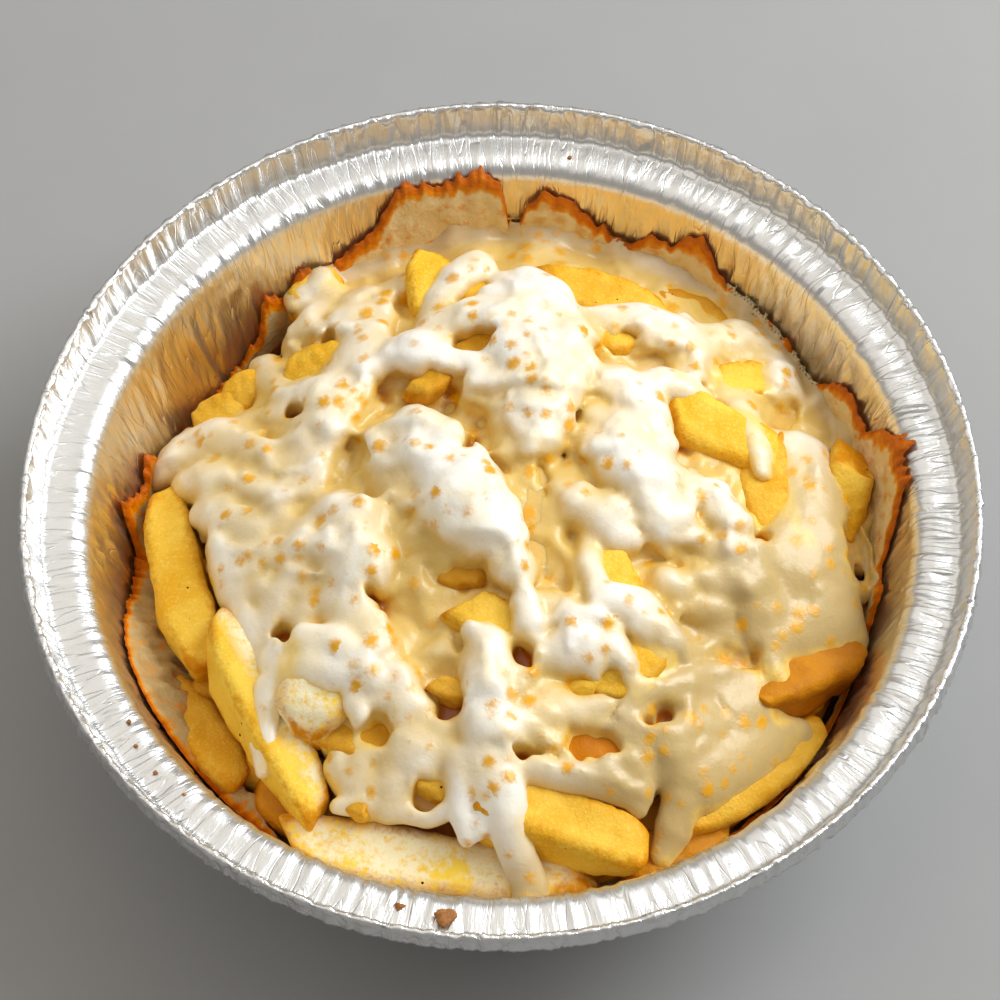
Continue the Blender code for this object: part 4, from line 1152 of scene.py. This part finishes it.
def box_blur(heights, span):
    """Mean of a grid over a square window of the span given, twice over, by running sums."""
    half = max(int(span / FIELD_STEP / 2), 1)
    for _ in range(2):
        for axis in (0, 1):
            room = [(0, 0), (0, 0)]
            room[axis] = (half + 1, half)
            sums = np.cumsum(np.pad(heights, room, mode="edge"), axis=axis)
            count = heights.shape[axis]
            high = np.take(sums, np.arange(count) + 2 * half + 1, axis=axis)
            low = np.take(sums, np.arange(count), axis=axis)
            heights = (high - low) / (2 * half + 1)
    return heights


def crossing_points(field, inside):
    """One point in each cell that the surface crosses: the mean of the crossings on its edges.

    A crossing lies on its edge by straight interpolation of the field. Gives the crossed cells and
    their points, in steps of the grid.
    """
    shape = np.array(field.shape) - 1
    corners = list(itertools.product((0, 1), repeat=3))
    count = np.zeros(shape, np.int8)
    for a, b, c in corners:
        count += inside[a:a + shape[0], b:b + shape[1], c:c + shape[2]]
    cells = np.nonzero((count > 0) & (count < 8))
    value = {(a, b, c): field[cells[0] + a, cells[1] + b, cells[2] + c] for a, b, c in corners}
    spots = np.zeros((len(cells[0]), 3))
    crossed = np.zeros(len(cells[0]))
    for axis in range(3):
        for spot in corners:
            if spot[axis]:
                continue
            far = tuple(part + (way == axis) for way, part in enumerate(spot))
            low, high = value[spot], value[far]
            cut = (low < 0) != (high < 0)
            share = np.where(cut, low / np.where(cut, low - high, 1), 0)
            place = np.tile(np.array(spot, float), (len(share), 1))
            place[:, axis] += share
            spots += place * cut[:, None]
            crossed += cut
    return cells, spots / crossed[:, None] + np.stack(cells, axis=1)


def crossing_quads(inside, cells):
    """One quad round each edge of the grid that the surface crosses, facing out of the cheese."""
    number = np.full(np.array(inside.shape) - 1, -1, np.int64)
    number[cells] = np.arange(len(cells[0]))
    quads = []
    for axis in range(3):
        low = [slice(1, -1)] * 3
        low[axis] = slice(0, -1)
        high = list(low)
        high[axis] = slice(1, None)
        one, two = inside[tuple(low)], inside[tuple(high)]
        edge = np.stack(np.nonzero(one != two), axis=1)
        start = edge + np.array([1 if way != axis else 0 for way in range(3)])
        side_a, side_b = [way for way in range(3) if way != axis]
        ring = []
        for back_a, back_b in ((1, 1), (0, 1), (0, 0), (1, 0)):
            cell = start.copy()
            cell[:, side_a] -= back_a
            cell[:, side_b] -= back_b
            ring.append(number[cell[:, 0], cell[:, 1], cell[:, 2]])
        ring = np.stack(ring, axis=1)
        leaving = one[tuple(edge.T)]
        flip = leaving if axis != 1 else ~leaving
        ring[~flip] = ring[~flip][:, ::-1]
        quads.append(ring)
    return np.concatenate(quads)


def level_surface(field):
    """Closed surface where a sampled field crosses zero: its points and its quads."""
    inside = field < 0
    cells, spots = crossing_points(field, inside)
    return spots, crossing_quads(inside, cells)


def relaxed(points, quads, rounds, strength=0.5):
    """Points moved part of the way to the mean of their neighbours, a few times over."""
    edges = np.concatenate([quads[:, [side, (side + 1) % 4]] for side in range(4)])
    number = np.bincount(edges[:, 0], minlength=len(points))[:, None]
    for _ in range(rounds):
        total = np.stack([
            np.bincount(edges[:, 0], weights=points[edges[:, 1], way], minlength=len(points))
            for way in range(3)
        ], axis=1)
        points = points + strength * (total / np.maximum(number, 1) - points)
    return points


def make_cheese_blanket():
    """The cheese over the heap: the field's zero surface, relaxed, with what is near its skin noted."""
    grid, field, bars = cheese_field()
    spots, quads = level_surface(field)
    spots = relaxed(spots, quads, 2)
    x = grid[0][0] + spots[:, 0] * FIELD_STEP
    y = grid[1][0] + spots[:, 1] * FIELD_STEP
    w = grid[2][0] + spots[:, 2] * FIELD_STEP
    near = np.round(spots).astype(int)
    bare = bars[near[:, 0], near[:, 1], near[:, 2]]
    points = np.stack([x, y, heap_top(x, y) + w], axis=1)
    opening = np.min([opening_distance((*each[:2], 0, *each[3:]), x, y, 0) for each in OPENINGS], axis=0)
    # How deep in a valley and how low each point lies, for the painted shade there
    tops = (field < 0).sum(axis=2) * FIELD_STEP
    around_here = box_blur(tops, VALLEY_SPAN) + box_blur(tops, 2.5 * VALLEY_SPAN)
    valley = around_here[near[:, 0], near[:, 1]] / 2 + FIELD_LOW - w
    at_wall = wall_radius(points[:, 2]) - np.hypot(x, y)
    values = {
        "thin": np.clip(1.0 - bare / THIN_SPAN, 0, 1),
        "rim": np.clip(1.0 - opening / RIM_SPAN, 0, 1),
        "low": valley + LOW_SHARE * (LOW_HEIGHT - w),
        # nearness to the wall, for the painted shade there
        "wall": np.clip(1.0 - at_wall / WALL_SPAN, 0, 1),
        # painted shade on the near right side of the cheese
        "painted_shade": smooth((PAINTED_SHADE_WAY[0] * x + PAINTED_SHADE_WAY[1] * y - PAINTED_SHADE_START) / PAINTED_SHADE_SPAN),
    }
    piece = make_piece("cheese_blanket", points, quads, values=values)
    triangles = 2 * len(quads)
    if triangles > CHEESE_TRIANGLES:
        group = piece.vertex_groups.new(name="underside")
        hidden = np.nonzero(w < COVER_BOTTOM + FIELD_STEP)[0]
        group.add(hidden.tolist(), 1.0, "REPLACE")
        thinner = piece.modifiers.new("Thinner underside", "DECIMATE")
        thinner.ratio = CHEESE_TRIANGLES / triangles
        thinner.vertex_group = group.name
        thinner.vertex_group_factor = 10.0
        apply_modifiers(piece)
    return piece


def apply_modifiers(piece):
    """Puts what the modifiers make into the piece's own mesh."""
    seen = piece.evaluated_get(bpy.context.evaluated_depsgraph_get())
    piece.data = bpy.data.meshes.new_from_object(seen)
    piece.modifiers.clear()
    piece.vertex_groups.clear()


def make_wall_film():
    """Cheese baked on to the wall: a thin sheet round it whose upper edge is ragged.

    Height runs from under the heap's edge to the film's edge, along the foil's outline; the sheet is
    thickest low down and thins to its border, and "bake" grows from 0 to 1 across the brown border.
    Its front and its back are rows of one closed ring.
    """
    azimuth = np.linspace(0, 2 * math.pi, FILM_COLUMNS, endpoint=False)
    degrees = np.degrees(azimuth)
    cos, sin = np.cos(azimuth), np.sin(azimuth)
    circle = (cos * FILM_WAVE_RADIUS, sin * FILM_WAVE_RADIUS)
    top = around(WALL_FILM, degrees, 1, eased=False)
    for kind in FILM_RAGS:
        top = top + tall_waves(circle, kind)
    brown = around(WALL_FILM, degrees, 2)
    foot = heap_top(cos * BASE_RADIUS, sin * BASE_RADIUS) - FILM_FOOT
    top = np.minimum(np.maximum(top, foot + FILM_SHORTEST), LEDGE_HEIGHT - FILM_BELOW_LEDGE)
    share = 1 - (1 - np.linspace(0, 1, FILM_ROWS)) ** 1.8
    height = foot + (top - foot) * share[:, None]
    below = top - height
    lumps = waves(np.broadcast_arrays(*circle, height), *FILM_LUMPS)
    thick = FILM_THICKNESS * smooth(below / FILM_BORDER + 0.15) * (1.2 + 0.25 * lumps) + FILM_LEAST
    skirt = around(FILM_SKIRT.items(), degrees) * (1 + 0.15 * lumps)
    thick = thick + skirt * smooth(below / np.maximum(top - foot, 1.0))
    outline = foil_outline()
    travel = distances_along(outline)
    spots, normals = along(outline, np.interp(height, outline[:, 1], travel).ravel())
    spots, normals = spots.reshape(*height.shape, 2), normals.reshape(*height.shape, 2)
    bake = np.clip(1.0 - below / np.maximum(brown, 0.3), 0, 1)
    sheet = []
    for away in (FILM_GAP + thick, FILM_GAP + 0 * thick):
        radius = spots[..., 0] + normals[..., 0] * away
        rise = spots[..., 1] + normals[..., 1] * away
        sheet.append(turned(radius, azimuth, rise))
    points = np.concatenate([sheet[0], sheet[1][::-1]]).reshape(-1, 3)
    bakes = np.concatenate([bake, bake[::-1]]).ravel()
    # painted shade on the film's left side
    painted_shade = smooth((-points[:, 0] - FILM_PAINTED_SHADE[0]) / FILM_PAINTED_SHADE[1])
    quads = grid_faces(2 * FILM_ROWS, FILM_COLUMNS, closed_rows=True, closed_columns=True)
    return make_piece("cheese_on_wall", points, quads[:, ::-1], values={"bake": bakes, "painted_shade": painted_shade})


# Crumbs

def make_crumbs():
    """Crumbs on the ledge: balls of the sizes listed, flattened and dented by seeded waves."""
    rows, columns = 14, 18
    length, seed, deep = CRUMB_DENTS
    polar = np.linspace(0.12, math.pi - 0.12, rows)
    turn = np.linspace(0, 2 * math.pi, columns, endpoint=False)
    polar, turn = np.meshgrid(polar, turn, indexing="ij")
    ball = turned(np.sin(polar), turn, -np.cos(polar))
    shapes = []
    for index, (x, y, z, size) in enumerate(CRUMBS):
        dent = 1 + deep * waves([ball[..., way] + index * 3 for way in range(3)], length, seed + index)
        crumb = ball * (dent * size)[..., None] * np.array(CRUMB_FORM)
        shapes.append((crumb + np.array([x, y, z])).reshape(-1, 3))
    return make_closed_shapes("crumbs", shapes, rows, columns)


# Materials

# Colours as linear red, green and blue: cheese by how thin it is and where it is toasted, with painted
# shade in its valleys and low places, along the wall, on its near right side and deep in its openings
CREAM = (0.95, 0.91, 0.83)
BUTTER = (0.92, 0.80, 0.56)
SHADED_VALLEY_CHEESE = (0.72, 0.50, 0.145)
WALL_SHADED_CHEESE = (0.56, 0.41, 0.19)
PAINTED_SHADE_CHEESE = (0.58, 0.422, 0.175)
THIN_CHEESE = (0.90, 0.62, 0.12)
RIM_CHEESE = (0.86, 0.58, 0.10)
HOLLOW_SHADE_ORANGE = (0.46, 0.13, 0.0)
TOASTED = (0.78, 0.385, 0.0)

# Film on the wall, from its pale middle out to its burnt edge, and the painted shade on its left side
PALE_FILM = (0.82, 0.65, 0.34)
TAN_FILM = (0.76, 0.56, 0.24)
PAINTED_SHADE_FILM = (0.50, 0.36, 0.16)
TOASTED_FILM = (0.62, 0.28, 0.02)
ORANGE_FILM = (0.74, 0.25, 0.0)
BROWN_FILM = (0.54, 0.12, 0.0)
BURNT_FILM = (0.16, 0.03, 0.001)

# Fries: the pale and the golden mottle, each for the palest and for the brownest fry, and details
PALE_FRY = ((0.98, 0.675, 0.075), (0.56, 0.185, 0.0))
GOLD_FRY = ((0.94, 0.52, 0.018), (0.40, 0.11, 0.0))
FRY_GRAIN = (0.94, 0.76, 0.20)
STARCH = (0.94, 0.84, 0.55)
CRISP_EDGE = (0.64, 0.25, 0.001)
PEPPER = (0.05, 0.02, 0.008)

# Both ends of the mottle inside the heap, which is painted shade, on the crumbs and on the foil, the
# foil's gold of fat stain and painted reflection of the food, and the floor's mottle
INSIDE_PAINTED_SHADE = ((0.78, 0.25, 0.002), (0.88, 0.36, 0.01))
CRUMB_MOTTLE = ((0.20, 0.06, 0.01), (0.48, 0.20, 0.04))
FOIL_MOTTLE = ((0.67, 0.67, 0.67), (0.78, 0.78, 0.77))
FAT_STAIN_AND_REFLECTION = (0.96, 0.77, 0.44)
FLOOR_MOTTLE = ((0.33, 0.33, 0.33), (0.36, 0.36, 0.357))

# Share of the toasted marks that is left out
BARENESS = 0.46


class Tree:
    """Short ways to add nodes to a node tree and to link them."""

    def __init__(self, tree):
        """Keeps the tree that the nodes go into."""
        self.tree = tree

    def feed(self, value, socket):
        """Links another node's output to a socket, or sets the socket's own number or colour."""
        if isinstance(value, bpy.types.NodeSocket):
            self.tree.links.new(value, socket)
        elif socket.type == "RGBA":
            socket.default_value = (*value, 1)
        else:
            socket.default_value = value

    def add(self, kind, inputs=None, **settings):
        """A node of a kind, with its settings and what feeds its inputs."""
        node = self.tree.nodes.new(kind)
        for key, value in settings.items():
            setattr(node, key, value)
        for key, value in (inputs or {}).items():
            self.feed(value, node.inputs[key])
        return node

    def math(self, operation, first, second=0.0):
        """What an operation makes of one or two numbers, by the operation's name."""
        return self.add("ShaderNodeMath", {0: first, 1: second}, operation=operation).outputs[0]

    def plus(self, first, second):
        """The first number and the second."""
        return self.math("ADD", first, second)

    def minus(self, first, second):
        """The first number less the second."""
        return self.math("SUBTRACT", first, second)

    def times(self, first, second):
        """The first number times the second."""
        return self.math("MULTIPLY", first, second)

    def blend(self, share, first, second):
        """A colour that goes from the first to the second as the share goes from 0 to 1."""
        node = self.add("ShaderNodeMix", data_type="RGBA")
        for name, value in (("Factor", share), ("A", first), ("B", second)):
            self.feed(value, next(each for each in node.inputs if each.name == name and each.enabled))
        return next(each for each in node.outputs if each.enabled)

    def ramp(self, value, low, high):
        """An S-shaped step: 0 below the low value and 1 above the high one."""
        limits = {"Value": value, "From Min": low, "From Max": high}
        return self.add("ShaderNodeMapRange", limits, interpolation_type="SMOOTHSTEP").outputs[0]

    def between(self, value, low, high):
        """The low number where the value is 0, and the high one where it is 1."""
        return self.add("ShaderNodeMapRange", {"Value": value, "To Min": low, "To Max": high}).outputs[0]

    def noise(self, place, scale, detail=3.0, roughness=0.55):
        """Smooth noise from 0 to 1; the scale is how many waves a metre has."""
        inputs = {"Vector": place, "Scale": scale, "Detail": detail, "Roughness": roughness}
        return self.add("ShaderNodeTexNoise", inputs).outputs["Fac"]

    def value(self, name):
        """What the mesh has noted at each point under a name."""
        return self.add("ShaderNodeAttribute", attribute_name=name).outputs["Fac"]


class Finish(Tree):
    """A material's own nodes, its surface with the constants given, and its places in metres."""

    def __init__(self, name, constants):
        """Makes the material and sets what is the same all over its surface."""
        self.material = bpy.data.materials.new(name)
        self.material.use_nodes = True
        super().__init__(self.material.node_tree)
        self.surface = self.tree.nodes["Principled BSDF"]
        self.place = self.add("ShaderNodeTexCoord").outputs["Object"]
        for key, value in constants.items():
            self.surface.inputs[key].default_value = value

    def marks(self, toasting):
        """Where the toasted marks are, from their node group."""
        inputs = {"Place": self.place, "Bareness": BARENESS}
        return self.add("ShaderNodeGroup", inputs, node_tree=toasting).outputs["Mark"]

    def color(self, value):
        """Feeds the surface's colour."""
        self.feed(value, self.surface.inputs["Base Color"])

    def roughness(self, value):
        """Feeds the surface's roughness, where it isn't the same all over."""
        self.feed(value, self.surface.inputs["Roughness"])

    def bump(self, height, strength, distance):
        """Tilts the surface by a height, at a strength and over a distance in metres."""
        node = self.add("ShaderNodeBump", {"Height": height, "Strength": strength, "Distance": distance})
        self.feed(node.outputs[0], self.surface.inputs["Normal"])


def toasting_group():
    """Toasted marks: soft ragged spots, each of its own size, gathered where a broad noise is high."""
    group = bpy.data.node_groups.new("Toasted marks", "ShaderNodeTree")
    group.interface.new_socket("Place", in_out="INPUT", socket_type="NodeSocketVector")
    group.interface.new_socket("Bareness", in_out="INPUT", socket_type="NodeSocketFloat")
    group.interface.new_socket("Mark", in_out="OUTPUT", socket_type="NodeSocketFloat")
    tree = Tree(group)
    given = tree.add("NodeGroupInput")
    result = tree.add("NodeGroupOutput")
    place = given.outputs["Place"]
    wander = tree.add("ShaderNodeTexNoise", {"Vector": place, "Scale": 1000.0, "Detail": 3.0})
    shift = {0: wander.outputs["Color"], 1: (0.0019,) * 3, 2: place}
    moved = tree.add("ShaderNodeVectorMath", shift, operation="MULTIPLY_ADD")
    cells = {"Vector": moved.outputs[0], "Scale": 270.0, "Randomness": 0.9}
    spots = tree.add("ShaderNodeTexVoronoi", cells)
    pick = tree.add("ShaderNodeSeparateColor", {0: spots.outputs["Color"]})
    gathered = tree.times(tree.minus(tree.noise(place, 60.0, 1.0), 0.5), 1.6)
    size = tree.minus(tree.plus(pick.outputs[0], gathered), given.outputs["Bareness"])
    capped = tree.math("MINIMUM", tree.times(size, 0.8), 0.36)
    over = tree.minus(capped, spots.outputs["Distance"])
    depth = tree.ramp(pick.outputs[1], -1.3, 0.5)
    tree.feed(tree.times(tree.ramp(over, -0.24, 0.2), depth), result.inputs[0])
    return group


def cheese_material(toasting):
    """Melted cheese: milky and glossy, yellow where thin over a fry, with toasted marks, and painted
    shade: golden in its valleys and low places, darker along the wall and on its near right side, and
    deep orange in its openings.
    """
    finish = Finish("Melted cheese", {
        "Roughness": 0.36, "Subsurface Weight": 0.3, "Subsurface Radius": (1.0, 0.95, 0.6),
        "Subsurface Scale": 0.0007, "Coat Weight": 0.15, "Coat Roughness": 0.22,
    })
    broad = finish.noise(finish.place, 70.0)
    fine = finish.noise(finish.place, 420.0, 4.0)
    low, rim = finish.value("low"), finish.value("rim")
    color = finish.blend(finish.ramp(broad, 0.35, 0.7), CREAM, BUTTER)
    uneven = finish.times(finish.minus(broad, 0.5), 2.0)
    # Painted shade: golden and darker in valleys and low places
    color = finish.blend(finish.ramp(finish.plus(low, uneven), -3.6, 1.8), color, SHADED_VALLEY_CHEESE)
    # Painted shade along the wall
    color = finish.blend(finish.ramp(finish.value("wall"), 0.0, 1.0), color, WALL_SHADED_CHEESE)
    # Painted shade on the near right side of the cheese
    color = finish.blend(finish.value("painted_shade"), color, PAINTED_SHADE_CHEESE)
    thin = finish.times(finish.value("thin"), finish.ramp(broad, 0.3, 0.62))
    color = finish.blend(finish.times(thin, 0.75), color, THIN_CHEESE)
    yellow_rim = finish.times(rim, finish.ramp(fine, 0.35, 0.65))
    color = finish.blend(finish.times(yellow_rim, 0.6), color, RIM_CHEESE)
    # Painted shade deep in the openings
    deep = finish.times(rim, finish.ramp(low, 3.5, 6.5))
    color = finish.blend(deep, color, HOLLOW_SHADE_ORANGE)
    mark = finish.marks(toasting)
    finish.color(finish.blend(mark, color, TOASTED))
    height = finish.plus(finish.times(fine, 0.35), finish.times(mark, 0.25))
    pits = finish.times(finish.noise(finish.place, 1300.0, 3.0), 0.14)
    finish.bump(finish.plus(height, pits), 0.45, 0.0009)
    return finish.material


def wall_film_material(toasting):
    """Cheese film on the wall: pale low down, baked orange and brown along its border."""
    finish = Finish("Baked cheese film", {"Roughness": 0.38, "Specular IOR Level": 0.22})
    broad = finish.noise(finish.place, 160.0)
    color = finish.blend(finish.ramp(broad, 0.3, 0.7), PALE_FILM, TAN_FILM)
    # Painted shade on the film's left side
    color = finish.blend(finish.value("painted_shade"), color, PAINTED_SHADE_FILM)
    mark = finish.marks(toasting)
    color = finish.blend(finish.times(mark, 0.6), color, TOASTED_FILM)
    uneven = finish.minus(finish.noise(finish.place, 330.0, 4.0), 0.5)
    bake = finish.plus(finish.value("bake"), finish.times(uneven, 1.3))
    color = finish.blend(finish.ramp(bake, 0.0, 0.35), color, ORANGE_FILM)
    color = finish.blend(finish.ramp(bake, 0.3, 0.75), color, BROWN_FILM)
    finish.color(finish.blend(finish.ramp(bake, 0.85, 1.3), color, BURNT_FILM))
    finish.bump(finish.noise(finish.place, 900.0, 5.0), 0.6, 0.0006)
    return finish.material


def fry_material():
    """Fried potato: golden flats, browner crisp edges, blistered skin and a few pepper specks."""
    finish = Finish("Fried potato", {"Specular IOR Level": 0.16})
    crisp, tone = finish.value("crisp"), finish.value("tone")
    broad = finish.noise(finish.place, 110.0, 3.0)
    fine = finish.noise(finish.place, 700.0, 5.0, 0.6)
    grain = finish.noise(finish.place, 1700.0, 2.0, 0.6)
    pale, gold = finish.blend(tone, *PALE_FRY), finish.blend(tone, *GOLD_FRY)
    color = finish.blend(finish.ramp(broad, 0.35, 0.68), pale, gold)
    light = finish.times(finish.ramp(grain, 0.5, 0.72), finish.ramp(tone, 1.0, -0.3))
    color = finish.blend(finish.times(light, 0.55), color, FRY_GRAIN)
    flour = finish.plus(finish.times(broad, 0.5), finish.times(fine, 0.5))
    starch = finish.times(finish.ramp(tone, 0.10, 0.03), finish.ramp(flour, 0.40, 0.56))
    color = finish.blend(starch, color, STARCH)
    edge = finish.plus(finish.times(crisp, 0.75), finish.minus(fine, 0.5))
    color = finish.blend(finish.ramp(edge, 0.2, 0.8), color, CRISP_EDGE)
    specks = finish.add("ShaderNodeTexVoronoi", {"Vector": finish.place, "Scale": 260.0})
    pick = finish.add("ShaderNodeSeparateColor", {0: specks.outputs["Color"]})
    near = finish.math("LESS_THAN", specks.outputs["Distance"], 0.07)
    speck = finish.times(near, finish.math("LESS_THAN", pick.outputs[0], 0.3))
    finish.color(finish.blend(speck, color, PEPPER))
    finish.roughness(finish.between(fine, 0.42, 0.62))
    finish.bump(finish.plus(fine, finish.times(grain, 0.6)), 0.42, 0.0006)
    return finish.material


def inside_material():
    """Painted shade inside the heap: deep orange brown."""
    finish = Finish("Heap inside", {"Roughness": 0.35})
    finish.color(finish.blend(finish.noise(finish.place, 150.0), *INSIDE_PAINTED_SHADE))
    return finish.material


def crumb_material():
    """Toasted crumbs: rough and dark brown."""
    finish = Finish("Toasted crumb", {"Roughness": 0.6})
    finish.color(finish.blend(finish.noise(finish.place, 900.0), *CRUMB_MOTTLE))
    finish.bump(finish.noise(finish.place, 1500.0), 1.0, 0.0004)
    return finish.material


def foil_material():
    """Thin aluminium: bright, with fine creases stretched along the pleats, soft dents, and gold on the
    wall's creases from fat stain and painted reflection of the food.
    """
    finish = Finish("Aluminium foil", {"Metallic": 1.0})
    sheet = finish.add("ShaderNodeUVMap").outputs[0]
    along_creases = finish.add("ShaderNodeMapping", {"Vector": sheet, "Scale": (6.0, 1.0, 1.0)})
    creases = finish.noise(along_creases.outputs[0], 1.6, 4.0, 0.6)
    along_lines = finish.add("ShaderNodeMapping", {"Vector": sheet, "Scale": (3.2, 0.5, 1.0)})
    wander = finish.noise(along_lines.outputs[0], 1.0, 1.0)
    lines = finish.ramp(finish.math("ABSOLUTE", finish.minus(wander, 0.5)), 0.0, 0.022)
    dents = finish.noise(finish.place, 260.0, 3.0)
    # Gold on the wall's creases: fat stain and painted reflection of the food
    stain_and_reflection = finish.times(finish.value("stain_and_reflection"), finish.ramp(creases, 0.25, 0.6))
    finish.color(finish.blend(stain_and_reflection, finish.blend(dents, *FOIL_MOTTLE), FAT_STAIN_AND_REFLECTION))
    finish.roughness(finish.between(creases, 0.28, 0.42))
    height = finish.plus(creases, finish.times(dents, 0.4))
    finish.bump(finish.plus(height, finish.times(lines, 0.35)), 0.42, 0.0006)
    return finish.material


def floor_material():
    """Pale matt table top with a faint mottle."""
    finish = Finish("Pale table", {"Roughness": 0.75})
    finish.color(finish.blend(finish.noise(finish.place, 30.0), *FLOOR_MOTTLE))
    return finish.material


# Studio

def make_floor():
    """A wide flat table top just under the pan: an even grid of x and y."""
    lines = np.linspace(-FLOOR_REACH, FLOOR_REACH, 9)
    x, y = np.meshgrid(lines, lines, indexing="ij")
    points = np.stack([x, y, 0 * x - FLOOR_GAP], axis=-1).reshape(-1, 3)
    floor = make_piece("table_top", points, grid_faces(len(lines), len(lines))[:, ::-1])
    floor.data.materials.append(floor_material())


def place_thing(name, data, place, target):
    """An object at a place, with its -Z axis turned to a target, both in millimetres."""
    thing = bpy.data.objects.new(name, data)
    bpy.context.scene.collection.objects.link(thing)
    start, end = Vector(place) * MM, Vector(target) * MM
    thing.location = start
    thing.rotation_euler = (end - start).to_track_quat("-Z", "Y").to_euler()
    return thing


def polar_place(centre, azimuth, elevation, distance):
    """A point at an azimuth and elevation in degrees and at a distance, seen from a centre."""
    turn, rise = math.radians(azimuth), math.radians(elevation)
    flat = distance * math.cos(rise)
    return (
        centre[0] + flat * math.cos(turn),
        centre[1] + flat * math.sin(turn),
        centre[2] + distance * math.sin(rise),
    )


def set_light():
    """Soft studio light: a key from the right, a broad fill from the back left, a pale surround."""
    for name, (azimuth, elevation, distance, side, power, color) in LIGHTS.items():
        lamp = bpy.data.lights.new(name, "AREA")
        lamp.shape = "RECTANGLE"
        lamp.size = lamp.size_y = side * MM
        lamp.energy = power
        lamp.color = color
        place_thing(name, lamp, polar_place(LIGHT_TARGET, azimuth, elevation, distance), LIGHT_TARGET)
    world = bpy.data.worlds.new("studio")
    bpy.context.scene.world = world
    world.use_nodes = True
    background = world.node_tree.nodes["Background"]
    background.inputs["Color"].default_value = SURROUND
    background.inputs["Strength"].default_value = SURROUND_STRENGTH


def set_camera():
    """The photograph's view: from the near side at 60 degrees, through a long lens."""
    camera = bpy.data.cameras.new("camera")
    camera.lens = LENS
    camera.sensor_width = SENSOR
    camera.clip_start = 0.01
    place = polar_place(LOOK_AT, -90, CAMERA_ELEVATION, CAMERA_DISTANCE)
    bpy.context.scene.camera = place_thing("camera", camera, place, LOOK_AT)


def dress(piece, material, slot, *nodes):
    """Gives a piece its material, its body and the nodes it stands for; the slot is not used."""
    piece.data.materials.clear()
    piece.data.materials.append(material)
    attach(piece, "root")
    if nodes:
        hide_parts(*nodes)


def main():
    """Makes every piece of the pan and its food, dressed and riding on its body, and the studio."""
    toasting = toasting_group()
    foil, potato = foil_material(), fry_material()
    dress(make_foil_pan(), foil, "foil", "foil_pan")
    dress(make_fries("fries", FRIES, 44, 32), potato, "potato", "fries_heap")
    dress(make_fries("hidden_fries", hidden_fries(), 30, 24), potato, "potato", "fries_heap")
    dress(make_core(), inside_material(), "potato", "fries_heap")
    dress(make_cheese_blanket(), cheese_material(toasting), "cheese", "melted_cheese")
    dress(make_wall_film(), wall_film_material(toasting), "cheese", "melted_cheese")
    dress(make_crumbs(), crumb_material(), "cheese")
    make_floor()
    set_light()
    set_camera()
    bpy.context.scene.view_settings.view_transform = "Standard"


main()
